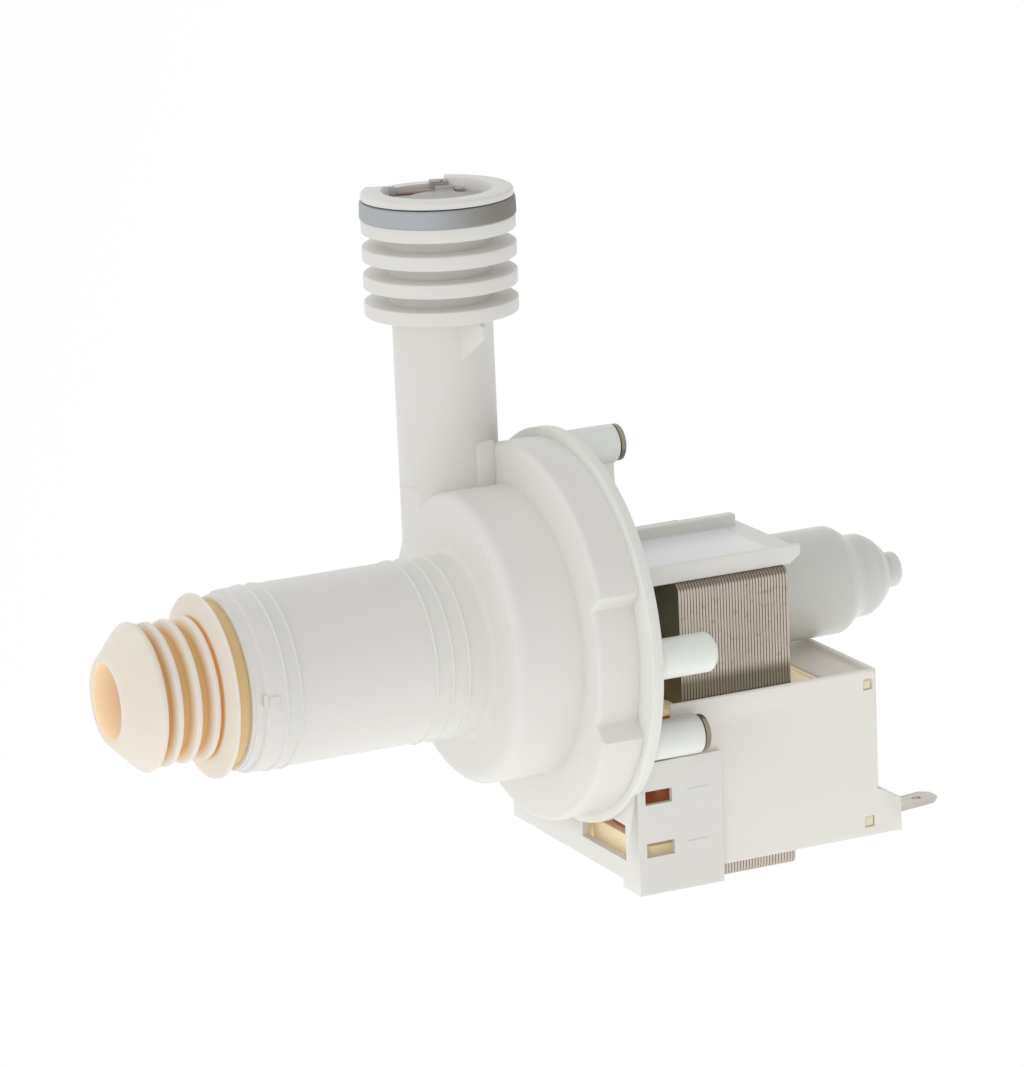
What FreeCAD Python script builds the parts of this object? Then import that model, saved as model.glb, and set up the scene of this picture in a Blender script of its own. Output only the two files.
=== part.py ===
import FreeCAD, Part
import math
import os

os.makedirs("parts", exist_ok=True)

V = FreeCAD.Vector
X = V(1, 0, 0)
Y = V(0, 1, 0)
Z = V(0, 0, 1)

# Clearances
RUN_FIT = 0.05          # radial, shaft in sleeve
BODY_GAP = 0.35         # between pieces that move against each other
SEAT_GAP = 0.1          # between pieces pushed together

# Pump axis is X, the inlet opens towards -X, the outlet points up along Z.
# Modelled from the drum's front face, then moved so the mouth's rim is the origin.
NOSE_LENGTH = 23.6      # rubber nose in front of the tube
TUBE_LENGTH = 49.3
DRUM_LENGTH = 14.1
SKIRT_LENGTH = 8.7
PLATE_T = 2.4
STACK_STANDOFF = 10.25  # from the flange plate to the core
LAMINATION_T = 0.65
LAMINATIONS = 37
CAN_OVERHANG = 23.8     # can behind the core

# Inlet tube
TUBE_R = 17.7
TUBE_WALL = 2.2
TUBE_FRONT_X = -TUBE_LENGTH
MOUTH_X = TUBE_FRONT_X - NOSE_LENGTH
COLLAR_R = 17.0
COLLAR_W = 1.7
RIM_T = 0.9             # thin rim in front of the collar
RIM_STEP = 0.2
FRONT_RIDGES = (6.1, 9.0)           # distance from the tube's front end
REAR_RIDGES = (12.1, 8.7, 5.3)      # distance from the drum
RIDGE_H = 0.35
RIDGE_W = 0.5
TUBE_IN_R = TUBE_R - TUBE_WALL
NECK_X = -6.0
NECK_LENGTH = 5.0
FLARE_LENGTH = 1.6
FLARE_H = 1.4
LUG_XS = (2.7, 4.4)     # distance from the tube's front end
LUG_T = 1.2
LUG_H = 0.25
LUG_DEG = 196.0
LUG_HALF_DEG = 4.2

# Volute drum and chamber
DRUM_R = 28.6
DRUM_Y = 0.9
DRUM_Z = 0.4
DRUM_EDGE = 2.6
FRONT_WALL = 2.4
CHAMBER_R = 25.6
EYE_R = 13.0

# Skirt behind the drum
SKIRT_X0 = DRUM_LENGTH
SKIRT_X1 = SKIRT_X0 + SKIRT_LENGTH
SKIRT_R = 37.4
SKIRT_WALL = 2.2
SKIRT_EDGE = 0.9
SKIRT_RIBS = 8
SKIRT_RIB_T = 1.2
SKIRT_SPIGOT_R = 29.0
SKIRT_INNER_WALL = 1.9
NOTCH_R = 33.6
NOTCH_WALL = 1.6
NOTCH_HALF_DEG = 21.0

# Outlet pipe
OUT_X = 8.7
OUT_Y = 18.33
OUT_R = 9.86
OUT_BORE_R = 7.4
OUT_FLAT_Z = 28.3
OUT_SPLIT_Z = 37.5      # the pipe's upper length starts here
FIN_R = 15.08
FIN_CORE_R = 10.1
FIRST_FIN_Z = 61.5
FIN_T = 2.75
FIN_PITCH = 5.43
FIN_COUNT = 4
FINS = [(FIRST_FIN_Z + FIN_PITCH * i, FIRST_FIN_Z + FIN_PITCH * i + FIN_T) for i in range(FIN_COUNT)]
SEAL_H = 3.76
SEAL_Z0 = FINS[-1][1]
SEAL_Z1 = SEAL_Z0 + SEAL_H
SEAL_GROOVE_R = 12.8
SEAL_R = 15.3
SEAL_EDGE = 0.25
TOP_RING_H = 1.5
TOP_RING_R = 14.9
TOP_Z = SEAL_Z1 + TOP_RING_H
TOP_OPEN_R = 10.4
TOP_EDGE = 0.6
SEAT_DEPTH = 7.2
SEAT_BORE_Z = TOP_Z - SEAT_DEPTH
BLOCK_FRONT_X = 10.0    # corner block between pipe, drum and skirt
BLOCK_SIDE_Y = 8.4
BLOCK_Z0 = 24.0
BLOCK_Z1 = 36.8
GUSSET_X = (-0.2, 4.7)              # from the pipe's axis, under the lowest fin
GUSSET_OUT = 0.5        # outside the pipe's wall
GUSSET_IN = 0.4         # outside the pipe's bore
GUSSET_DROP = (8.9, 3.7)

# Check valve: hinge direction and back direction in plan
HINGE_DEG = -17.0
HINGE_BACK = 7.7
HINGE_Z = TOP_Z - 2.1
PIN_R = 0.45
PIN_SPAN = (-8.9, 5.7)
SEAT_TOP_Z = TOP_Z - 3.5
SEAT_IN_R = 7.3
SEAT_OUT_R = TOP_OPEN_R - 0.02
SEAT_POCKET_R = 12.1
SHELF_T = 1.4
FLAP_R = 9.4
FLAP_BACK = 3.0         # the disc ends this far in front of the hinge
FLAP_T = 1.2
FLAP_DOME_R = 5.6
FLAP_DOME_H = 0.5
FLAP_Z = SEAT_TOP_Z + BODY_GAP
KNUCKLE_R = 1.05
KNUCKLE = (0.7, 4.2)
BARREL_R = 1.5
BARREL = (-10.9, -7.2)
KEY = (0.1, 3.6)
KEY_Z = TOP_Z - 0.45
KEY_NOTCH_X = (2.1, 2.7)
KEY_NOTCH = 0.5
CUTOUT = (-12.6, 3.5)

# Motor flange
PLATE_X0 = SKIRT_X1
PLATE_X1 = PLATE_X0 + PLATE_T
PLATE_R = 39.2
SPIGOT_LENGTH = 6.5
SPIGOT_X0 = PLATE_X0 - SPIGOT_LENGTH
SPIGOT_R = SKIRT_SPIGOT_R - SEAT_GAP
ORING_R = 1.2
ORING_X = SPIGOT_X0 + 3.3
ORING_MAJOR = SKIRT_SPIGOT_R - ORING_R

# Screw bosses and plain bosses
BOSS_INSET = 4.6        # from the plate's rim
BOSS_RING_R = PLATE_R - BOSS_INSET
BOSS_R = 3.75
BOSS_X1 = PLATE_X1 + 11.15
SCREW_DEG = {"top": 87.5, "near": 208.8, "far": 331.2}
PLAIN_DEG = (1.0, 179.0)
PLAIN_R = 3.9
PLAIN_X1 = PLATE_X1 + 12.7
PLAIN_CHAMFER = 1.2
BOSS_RIB_T = 2.0
BOSS_RIB_R0 = 21.5
SCREW_R = 1.6
SCREW_CLEAR_R = 2.0
SCREW_TIP_X = SKIRT_X0 + 1.5
SCREW_HEAD_R = 3.65
SCREW_HEAD_H = 1.4
SCREW_HEAD_EDGE = 0.6
SCREW_HEAD_ROOM = 0.25
RECESS_HALF = 1.7
RECESS_T = 0.7
RECESS_DEPTH = 0.5

# Collar and webs behind the plate
COLLAR_RING_R = 13.0
WEB_X1 = PLATE_X1 + 1.6
WEB_R = 31.0
WEB_T = 1.4
WEB_DEG = (20.0, 45.0, 198.0, 238.0, 302.0, 342.0)

# Laminated core
STACK_X0 = PLATE_X1 + STACK_STANDOFF
STACK_X1 = STACK_X0 + LAMINATIONS * LAMINATION_T
STACK_HALF_Y = 25.9
STACK_TOP_Z = 12.0
STACK_ARM_Z = -12.6
STACK_CORNER = 2.0
STACK_FAR_CORNER = 6.0
BORE_R = 11.35
LEG_Y0 = 8.9
LEG_Y1 = 19.5
COIL_H = 28.0
YOKE_H = 7.7
YOKE_Z1 = STACK_ARM_Z - COIL_H
FLOOR_Z = YOKE_Z1 - YOKE_H
YOKE_CORNER = 1.5
AIR_STEP = 0.45
AIR_STEP_HALF_DEG = 26.0

# Rotor can
CAN_R = 10.93
CAN_WALL = 1.23
CAN_IN_R = CAN_R - CAN_WALL
CAN_FLANGE_R = 16.4
CAN_FLANGE_X1 = SPIGOT_X0 + 1.9
CAN_END_X = STACK_X1 + CAN_OVERHANG
CAN_STEP_R = 8.35
CAN_STEP_X0 = CAN_END_X + 3.7
CAN_STEP_X1 = CAN_STEP_X0 + 3.2
KNOB_R = 3.57
KNOB_X0 = CAN_STEP_X1 + 4.5
KNOB_X1 = KNOB_X0 + 3.3
CAN_RING_R = 0.7
CAN_RING_MAJOR = 14.0

# Rotor
SHAFT_R = 1.6
SHAFT_X0 = FRONT_WALL + 0.8
SHAFT_X1 = CAN_END_X + 8.1
SHAFT_EDGE = 0.3
MAGNET_R = 8.9
MAGNET_X0 = STACK_X0 + 0.35
MAGNET_X1 = STACK_X1 - 0.1
CORE_R = 3.4
CORE_DISC_T = 1.6
CORE_NECK = 0.8
BEARING_R = 4.1
FRONT_BEARING = (SPIGOT_X0 + 1.1, SPIGOT_X0 + 8.5)
REAR_BEARING = (CAN_END_X + 1.9, CAN_END_X + 7.7)
GROMMET_R = 6.9
HOLDER_X1 = PLATE_X1 + 0.2
HOLDER_WALL = 1.25

# Impeller and drive dog
HUB_IN_R = 7.3
HUB_OUT_R = 8.5
HUB_X0 = FRONT_WALL + 3.0
HUB_X1 = SPIGOT_X0 - 1.7
HUB_NOSE_R = 6.6
BLADE_R = 22.6
BLADE_T = 1.6
BLADES = 6
BLADE_X0 = FRONT_WALL + 2.2
BLADE_SLOPE = 2.0
SHROUD_T = 1.3
SHROUD_X0 = HUB_X1 - SHROUD_T
DOG_R = 4.0
DOG_LUG_R = HUB_IN_R - BODY_GAP
DOG_X0 = HUB_X0 + 2.0
DOG_X1 = SPIGOT_X0 - 0.5
DOG_LUG_DEG = 38.0
STOP_LUG_DEG = 38.0
REST_GAP_DEG = 6.0
CLIP_R = 2.9

# Coils
BOBBIN_WALL = 0.9
BOBBIN_TOP_Z = STACK_ARM_Z
BOBBIN_BOTTOM_Z = YOKE_Z1
BOBBIN_FLANGE = 1.2
BOBBIN_Y0 = 1.1
BOBBIN_Y1 = STACK_HALF_Y - 0.5
BOBBIN_X0 = STACK_X0 - 8.25
BOBBIN_X1 = STACK_X1 + 7.9
BOBBIN_CORNER = 1.2
BOBBIN_LIP = 4.0        # thick front end of the lower flange
BOBBIN_LIP_Z0 = FLOOR_Z + 3.4
WINDING_Y0 = BOBBIN_Y0 + 2.0
WINDING_Y1 = BOBBIN_Y1 - 0.4
WINDING_X0 = BOBBIN_X0 + 1.2
WINDING_X1 = BOBBIN_X1 - 1.2
WINDING_CORNER = 4.6

# Coil cover
COVER_WALL = 0.8
COVER_HALF_Y = STACK_HALF_Y + COVER_WALL + 0.05
COVER_FLOOR_T = 1.2
COVER_EDGE = 0.5
COVER_X0 = STACK_X0 - 2.85
COVER_X1 = BOBBIN_X1 + 10.7
COVER_TOP_Z = STACK_ARM_Z + 1.3
COVER_BOTTOM_Z = FLOOR_Z + 2.9
COVER_SHELF_X = BOBBIN_X1 + 0.6
COVER_SHELF_Z = COVER_TOP_Z - 1.2
COVER_SHELF_T = 1.0
BLOCK_X1 = COVER_X1 + 5.0
BLOCK_TOP_Z = COVER_BOTTOM_Z + 9.6
BLOCK_EDGE_Z = COVER_BOTTOM_Z + 6.8
SNAP_WINDOWS = ((COVER_X1 - 2.9, COVER_X1 - 0.8, COVER_TOP_Z - 4.1, COVER_TOP_Z - 1.9),
                (COVER_X1 - 3.2, COVER_X1 - 1.1, COVER_BOTTOM_Z + 1.9, COVER_BOTTOM_Z + 4.1))

# Bracket below the flange
BRACKET_WALL = 1.15
BRACKET_X0 = PLATE_X1 - 1.1
BRACKET_X1 = PLATE_X1 + 17.2
BRACKET_HALF_Y = COVER_HALF_Y + SEAT_GAP + BRACKET_WALL
BRACKET_FRONT_WALL = 1.6
BRACKET_TOP_Z = FLOOR_Z + 26.5
BRACKET_SHELF_Z = FLOOR_Z + 1.7
BRACKET_SHELF_T = 1.2
BRACKET_SHELF_X1 = STACK_X0 - 0.85
SHELF_HOLE = (BRACKET_X0 + 3.9, BRACKET_SHELF_X1 - 1.6)
SHELF_HOLE_Y = LEG_Y1 - 1.5
LEDGE_H = 0.12
FOOT_Y = 20.6
FOOT_T = 3.0
SIDE_WINDOWS = ((BRACKET_X0 + 1.7, BRACKET_X0 + 7.5, FLOOR_Z + 18.1, FLOOR_Z + 20.9),
                (BRACKET_X0 + 1.7, BRACKET_X0 + 7.8, FLOOR_Z + 7.5, FLOOR_Z + 10.4))
SNAP_LEDGES = ((BRACKET_X1 - 7.8, BRACKET_X1 - 2.8, FLOOR_Z + 18.4, FLOOR_Z + 20.0),
               (BRACKET_X1 - 7.8, BRACKET_X1 - 2.8, FLOOR_Z + 7.9, FLOOR_Z + 9.5))
FRONT_OPENING_Y = (-22.3, -3.2)
FRONT_OPENING_Z = (FLOOR_Z + 5.7, FLOOR_Z + 13.0)

# Spade terminals
TAB_Y = 21.45
TAB_W = 6.3
TAB_T = 0.8
TAB_ROOT_X = COVER_X1 - 6.1
TAB_TIP_X = BLOCK_X1 + 10.5
TAB_Z = COVER_BOTTOM_Z + 3.3
TAB_TILT = 4.0
TAB_TIP = 1.9
TAB_HOLE_R = 0.9

# Cap over the core
CAP_Y0 = -24.5
CAP_Y1 = 9.2
CAP_X0 = PLATE_X1
CAP_X1 = STACK_X1 + 3.7
CAP_TOP_Z = STACK_TOP_Z + 2.9
CAP_T = 1.4
CAP_RAIL_Z = CAP_TOP_Z + 0.8
CAP_RAIL_T = 1.3
CAP_RIDGE_Z = CAP_TOP_Z + 2.45
CAP_RIDGE_T = 2.3
CAP_RIDGE_X1 = STACK_X1 + 1.4
CAP_EDGE = 0.4
CAP_BEVEL = 1.6
HOOK_T = 1.6
HOOK_Z = 7.5
HOOK_Y = (-20.0, -13.5)
LABEL_T = 0.15

# Inlet seal
NOSE_MOUTH_R = 7.3
NOSE_MOUTH_LENGTH = 6.4
NOSE_RIM_R = 8.2
NOSE_MAX_R = 14.5
NOSE_MAX_X = MOUTH_X + 7.0
SEAL_FIN_R = 13.9
SEAL_FIN_XS = (MOUTH_X + 10.2, MOUTH_X + 14.0, MOUTH_X + 17.7)
SEAL_FIN_T = 1.3
SEAL_ROOT_R = 11.6
SEAL_WALL = 1.5
SEAL_FLANGE_R = 17.95
SEAL_FLANGE_X0 = TUBE_FRONT_X - 4.3
SEAL_FLANGE_X1 = TUBE_FRONT_X - 3.1
SEAL_PLUG_R = TUBE_IN_R
SEAL_PLUG_X1 = TUBE_FRONT_X + 11.3


def box(x0, x1, y0, y1, z0, z1):
    return Part.makeBox(x1 - x0, y1 - y0, z1 - z0, V(x0, y0, z0))


def rod(x0, x1, r, y=0.0, z=0.0):
    return Part.makeCylinder(r, x1 - x0, V(x0, y, z), X)


def ring(x0, x1, ro, ri, y=0.0, z=0.0):
    return rod(x0, x1, ro, y, z).cut(rod(x0 - 1, x1 + 1, ri, y, z))


def post(z0, z1, r, x=OUT_X, y=OUT_Y):
    return Part.makeCylinder(r, z1 - z0, V(x, y, z0), Z)


def spin(profile):
    # profile: (x, r) pairs, turned about the pump axis
    points = [V(x, 0, r) for x, r in profile]
    face = Part.Face(Part.makePolygon(points + [points[0]]))
    return face.revolve(V(0, 0, 0), X, 360)


def arc(x, r, radius, start_deg, end_deg, steps):
    # points of an arc in a spin profile, 0 degrees towards +X
    turn = (end_deg - start_deg) / steps
    angles = [math.radians(start_deg + turn * i) for i in range(steps + 1)]
    return [(x + radius * math.cos(a), r + radius * math.sin(a)) for a in angles]


def rim_edges(shape, least_width):
    # full round edges that lie flat across the Z axis
    return [e for e in shape.Edges if e.BoundBox.ZLength < 0.01 and e.BoundBox.XLength > least_width]


def prism_x(points, x0, x1):
    # points: (y, z) pairs, extruded along X
    corners = [V(x0, y, z) for y, z in points]
    return Part.Face(Part.makePolygon(corners + [corners[0]])).extrude(V(x1 - x0, 0, 0))


def prism_y(points, y0, y1):
    # points: (x, z) pairs, extruded along Y
    corners = [V(x, y0, z) for x, z in points]
    return Part.Face(Part.makePolygon(corners + [corners[0]])).extrude(V(0, y1 - y0, 0))


def wedge(x0, x1, ri, ro, mid_deg, half_deg, steps=6):
    # part of a ring about the pump axis, angle measured from +Y towards +Z
    angles = [math.radians(mid_deg - half_deg + 2 * half_deg * i / steps) for i in range(steps + 1)]
    reach = ro / math.cos(math.radians(half_deg) / steps) + 0.5
    fan = [(0.0, 0.0)] + [(reach * math.cos(a), reach * math.sin(a)) for a in angles]
    sector = prism_x(fan, x0, x1)
    return sector.common(ring(x0, x1, ro, ri)) if ri > 0 else sector.common(rod(x0, x1, ro))


def polar(r, deg):
    return r * math.cos(math.radians(deg)), r * math.sin(math.radians(deg))


def fuse(shapes):
    first = shapes[0]
    return first.multiFuse(shapes[1:]).removeSplitter() if len(shapes) > 1 else first


def mirror_y(shape):
    return shape.mirror(V(0, 0, 0), Y)


def hinge_frame(shape):
    # local x along the hinge, local y towards the back of the outlet
    turned = shape.copy()
    turned.rotate(V(0, 0, 0), Z, HINGE_DEG)
    turned.translate(V(OUT_X, OUT_Y, 0))
    return turned


def save(name, shape):
    moved = shape.copy()
    moved.translate(V(-MOUTH_X, 0, 0))
    moved.exportStep("parts/" + name + ".step")


# Volute housing, inlet tube and outlet pipe
def skirt_shell():
    outer = rod(SKIRT_X0, SKIRT_X1, SKIRT_R)
    outer = outer.makeChamfer(SKIRT_EDGE, [e for e in outer.Edges if e.BoundBox.XMax < SKIRT_X0 + 0.01])
    for mid in (0.0, 180.0):
        outer = outer.cut(wedge(SKIRT_X0 - 1, SKIRT_X1 + 1, NOTCH_R, SKIRT_R + 4, mid, NOTCH_HALF_DEG))
    floor_x = SKIRT_X0 + SKIRT_WALL
    pockets = ring(floor_x, SKIRT_X1 + 1, SKIRT_R - SKIRT_WALL, SKIRT_SPIGOT_R + SKIRT_INNER_WALL)
    keep = []
    for mid in (0.0, 180.0):
        wall_r = NOTCH_R - NOTCH_WALL
        keep.append(wedge(floor_x - 1, SKIRT_X1 + 2, wall_r, SKIRT_R + 1, mid, NOTCH_HALF_DEG + 2.5))
    for deg in SCREW_DEG.values():
        y, z = polar(BOSS_RING_R, deg)
        keep.append(rod(floor_x - 1, SKIRT_X1 + 2, SCREW_R + 2.0, y, z))
    for i in range(SKIRT_RIBS):
        rib = box(floor_x - 1, SKIRT_X1 + 2, SKIRT_SPIGOT_R, SKIRT_R, -SKIRT_RIB_T / 2, SKIRT_RIB_T / 2)
        rib.rotate(V(0, 0, 0), X, 360.0 / SKIRT_RIBS * (i + 0.5))
        keep.append(rib)
    return outer.cut(pockets.cut(Part.makeCompound(keep)))


def make_volute_housing():
    rounded = arc(DRUM_EDGE, DRUM_R - DRUM_EDGE, DRUM_EDGE, 180, 90, 3)
    drum = spin([(0, 0)] + rounded + [(SKIRT_X0 + 1, DRUM_R), (SKIRT_X0 + 1, 0)])
    drum.translate(V(0, DRUM_Y, DRUM_Z))
    pipe_root = post(0.0, OUT_SPLIT_Z, OUT_R).cut(box(-10, 0, -10, 40, -10, OUT_FLAT_Z))
    block = box(BLOCK_FRONT_X, SKIRT_X0 + 0.4, BLOCK_SIDE_Y, OUT_Y, BLOCK_Z0, BLOCK_Z1)
    body = fuse([drum, skirt_shell(), pipe_root, block])
    eye = rod(-1, FRONT_WALL + 1, EYE_R)
    chamber = rod(FRONT_WALL, SPIGOT_X0 + 0.5, CHAMBER_R, DRUM_Y * 0.5, DRUM_Z * 0.5)
    spigot_bore = rod(SPIGOT_X0 - SEAT_GAP, SKIRT_X1 + 1, SKIRT_SPIGOT_R)
    cuts = [eye, chamber, spigot_bore, post(2.0, OUT_SPLIT_Z + 1, OUT_BORE_R)]
    for deg in SCREW_DEG.values():
        y, z = polar(BOSS_RING_R, deg)
        cuts.append(rod(SCREW_TIP_X, SKIRT_X1 + 1, SCREW_R, y, z))
    return body.cut(Part.makeCompound(cuts))


def make_inlet_tube():
    outer = [(TUBE_FRONT_X - RIM_T, TUBE_IN_R), (TUBE_FRONT_X - RIM_T, COLLAR_R - RIM_STEP),
             (TUBE_FRONT_X, COLLAR_R - RIM_STEP), (TUBE_FRONT_X, COLLAR_R),
             (TUBE_FRONT_X + COLLAR_W, COLLAR_R), (TUBE_FRONT_X + COLLAR_W + 0.3, TUBE_R)]
    for x in [TUBE_FRONT_X + d for d in FRONT_RIDGES] + [-d for d in REAR_RIDGES]:
        outer += [(x - RIDGE_W, TUBE_R), (x, TUBE_R + RIDGE_H), (x + RIDGE_W, TUBE_R)]
    flare = [(-FLARE_LENGTH, TUBE_R), (0.0, TUBE_R + FLARE_H)]
    inner = [(0.0, EYE_R), (NECK_X + NECK_LENGTH, EYE_R), (NECK_X, TUBE_IN_R)]
    # two small moulded lugs on the collar band
    lugs = []
    for x in [TUBE_FRONT_X + d for d in LUG_XS]:
        low, high = TUBE_R - LUG_H, TUBE_R + LUG_H
        lugs.append(wedge(x - LUG_T / 2, x + LUG_T / 2, low, high, LUG_DEG, LUG_HALF_DEG))
    return fuse([spin(outer + flare + inner)] + lugs)


def make_outlet_pipe():
    pieces = [post(OUT_SPLIT_Z, FINS[0][0] + 1, OUT_R), post(FINS[0][0], SEAL_Z1, FIN_CORE_R)]
    pieces += [post(z0, z1, FIN_R) for z0, z1 in FINS]
    pieces.append(post(FINS[-1][1] - 1.0, TOP_Z - 0.5, SEAL_GROOVE_R))
    top = post(SEAL_Z1, TOP_Z, TOP_RING_R)
    rims = [e for e in rim_edges(top, TOP_RING_R) if e.BoundBox.ZMin > SEAL_Z1 + 0.1]
    pieces.append(top.makeChamfer(TOP_EDGE, rims))
    # slanting gusset under the lowest fin
    fin_z = FINS[0][0] + 0.2
    left, right = [OUT_X + d for d in GUSSET_X]
    face = [(left, FINS[0][0] - GUSSET_DROP[0]), (right, FINS[0][0] - GUSSET_DROP[1]), (right, fin_z),
            (left, fin_z)]
    pieces.append(prism_y(face, OUT_Y - OUT_R - GUSSET_OUT, OUT_Y - OUT_BORE_R - GUSSET_IN))
    body = fuse(pieces)
    cuts = [post(OUT_SPLIT_Z - 1, SEAT_BORE_Z + 0.1, OUT_BORE_R), post(SEAT_BORE_Z, TOP_Z + 1, TOP_OPEN_R)]
    # cut-out of the top ring for the valve's hinge and key
    cutout = box(CUTOUT[0], CUTOUT[1], HINGE_BACK - 1.9, FIN_R + 2, SEAL_Z1 + 0.2, TOP_Z + 1)
    cuts.append(hinge_frame(cutout))
    low = box(BARREL[0] - 0.5, CUTOUT[1], HINGE_BACK - 1.9, SEAT_POCKET_R + 0.1, SEAT_TOP_Z, TOP_Z + 1)
    pocket = Part.makeCylinder(SEAT_POCKET_R, SEAT_DEPTH + 1, V(0, 0, SEAT_BORE_Z), Z)
    cuts.append(hinge_frame(low.common(pocket)))
    return body.cut(Part.makeCompound(cuts))


def make_inlet_seal():
    x0 = MOUTH_X
    outer = [(x0, NOSE_MOUTH_R), (x0, NOSE_RIM_R), (NOSE_MAX_X - 0.8, NOSE_MAX_R), (NOSE_MAX_X, NOSE_MAX_R),
             (NOSE_MAX_X + 0.6, SEAL_ROOT_R)]
    for x in SEAL_FIN_XS:
        outer += [(x - SEAL_FIN_T, SEAL_ROOT_R), (x - 0.5, SEAL_FIN_R), (x, SEAL_FIN_R)]
        outer.append((x + 0.5, SEAL_ROOT_R))
    outer += [(SEAL_FLANGE_X0 - 0.4, SEAL_ROOT_R), (SEAL_FLANGE_X0 - 0.4, SEAL_FIN_R),
              (SEAL_FLANGE_X1 - 1.0, SEAL_FLANGE_R), (SEAL_FLANGE_X1, SEAL_FLANGE_R),
              (SEAL_FLANGE_X1, SEAL_PLUG_R + 0.5), (TUBE_FRONT_X - RIM_T, SEAL_PLUG_R + 0.5),
              (TUBE_FRONT_X - RIM_T, SEAL_PLUG_R), (SEAL_PLUG_X1, SEAL_PLUG_R)]
    plug_in = SEAL_PLUG_R - SEAL_WALL
    root_in = SEAL_ROOT_R - SEAL_WALL
    inner = [(SEAL_PLUG_X1, plug_in), (SEAL_FLANGE_X1 + 1.0, plug_in), (SEAL_FLANGE_X1 - 1.5, root_in),
             (NOSE_MAX_X, root_in), (x0 + NOSE_MOUTH_LENGTH, NOSE_MOUTH_R)]
    return spin(outer + inner)


def make_outlet_seal():
    outer = post(SEAL_Z0 + 0.05, SEAL_Z1 - 0.05, SEAL_R)
    outer = outer.makeChamfer(SEAL_EDGE, rim_edges(outer, SEAL_R))
    return outer.cut(post(SEAL_Z0 - 1, SEAL_Z1 + 1, SEAL_GROOVE_R))


# Check valve
def make_valve_seat():
    base_z = SEAT_TOP_Z - 1.0
    body = Part.makeCylinder(SEAT_OUT_R, SEAT_TOP_Z - SEAT_BORE_Z, V(0, 0, SEAT_BORE_Z), Z)
    body = body.cut(Part.makeCylinder(SEAT_IN_R, SEAT_DEPTH, V(0, 0, SEAT_BORE_Z - 1), Z))
    barrel = Part.makeCylinder(BARREL_R, BARREL[1] - BARREL[0], V(BARREL[0], HINGE_BACK, HINGE_Z), X)
    barrel_base = box(BARREL[0], BARREL[1], HINGE_BACK - 1.2, HINGE_BACK + BARREL_R, base_z, HINGE_Z)
    back_y = HINGE_BACK + BARREL_R + 0.15
    shelf = box(BARREL[0], KEY[1], back_y, SEAT_POCKET_R, SEAT_TOP_Z, SEAT_TOP_Z + SHELF_T)
    link = box(BARREL[1], KEY[1] - 0.2, back_y, back_y + 0.3, base_z, SEAT_TOP_Z + 0.6)
    ear = box(KNUCKLE[1] + BODY_GAP, PIN_SPAN[1] + 0.5, HINGE_BACK - 1.3, HINGE_BACK + 1.3, base_z,
              HINGE_Z + 1.2)
    key = box(KEY[0], KEY[1], back_y, SEAT_POCKET_R, SEAT_TOP_Z + SHELF_T - 0.1, KEY_Z)
    notch = box(KEY_NOTCH_X[0], KEY_NOTCH_X[1], back_y - 1, SEAT_POCKET_R + 1, KEY_Z - KEY_NOTCH, KEY_Z + 1)
    local = fuse([body, barrel, barrel_base, shelf, link, ear, key]).cut(notch)
    local = local.cut(Part.makeCylinder(PIN_R, 20, V(PIN_SPAN[0], HINGE_BACK, HINGE_Z), X))
    # everything stays inside the ring's bore and its cut-out
    bore = Part.makeCylinder(SEAT_OUT_R, 20, V(0, 0, SEAT_BORE_Z), Z)
    window = box(BARREL[0] - 0.3, CUTOUT[1] - SEAT_GAP, HINGE_BACK - 1.8, FIN_R, SEAT_TOP_Z + 0.05,
                 TOP_Z + 5)
    pocket = Part.makeCylinder(SEAT_POCKET_R - 0.05, 20, V(0, 0, SEAT_BORE_Z), Z)
    above = box(-FIN_R, FIN_R, -FIN_R, FIN_R, SEAL_Z1 + 0.3, TOP_Z + 5)
    return hinge_frame(local.common(fuse([bore, window.common(pocket), window.common(above)])))


def make_hinge_pin():
    length = PIN_SPAN[1] - PIN_SPAN[0]
    return hinge_frame(Part.makeCylinder(PIN_R, length, V(PIN_SPAN[0], HINGE_BACK, HINGE_Z), X))


def make_valve_flap():
    back_y = HINGE_BACK - FLAP_BACK
    disc = Part.makeCylinder(FLAP_R, FLAP_T, V(0, 0, FLAP_Z), Z)
    disc = disc.cut(box(-FIN_R, FIN_R, back_y, FIN_R, FLAP_Z - 1, FLAP_Z + FLAP_T + 1))
    knuckle = Part.makeCylinder(KNUCKLE_R, KNUCKLE[1] - KNUCKLE[0], V(KNUCKLE[0], HINGE_BACK, HINGE_Z), X)
    arms = box(KNUCKLE[0], KNUCKLE[1], back_y - 0.5, HINGE_BACK, FLAP_Z, HINGE_Z + 0.4)
    dome = Part.makeCylinder(FLAP_DOME_R, FLAP_DOME_H, V(0, -0.8, FLAP_Z + FLAP_T), Z)
    local = fuse([disc, dome, knuckle, arms])
    hole = Part.makeCylinder(PIN_R + RUN_FIT, 20, V(-11, HINGE_BACK, HINGE_Z), X)
    return hinge_frame(local.cut(hole))


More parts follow.
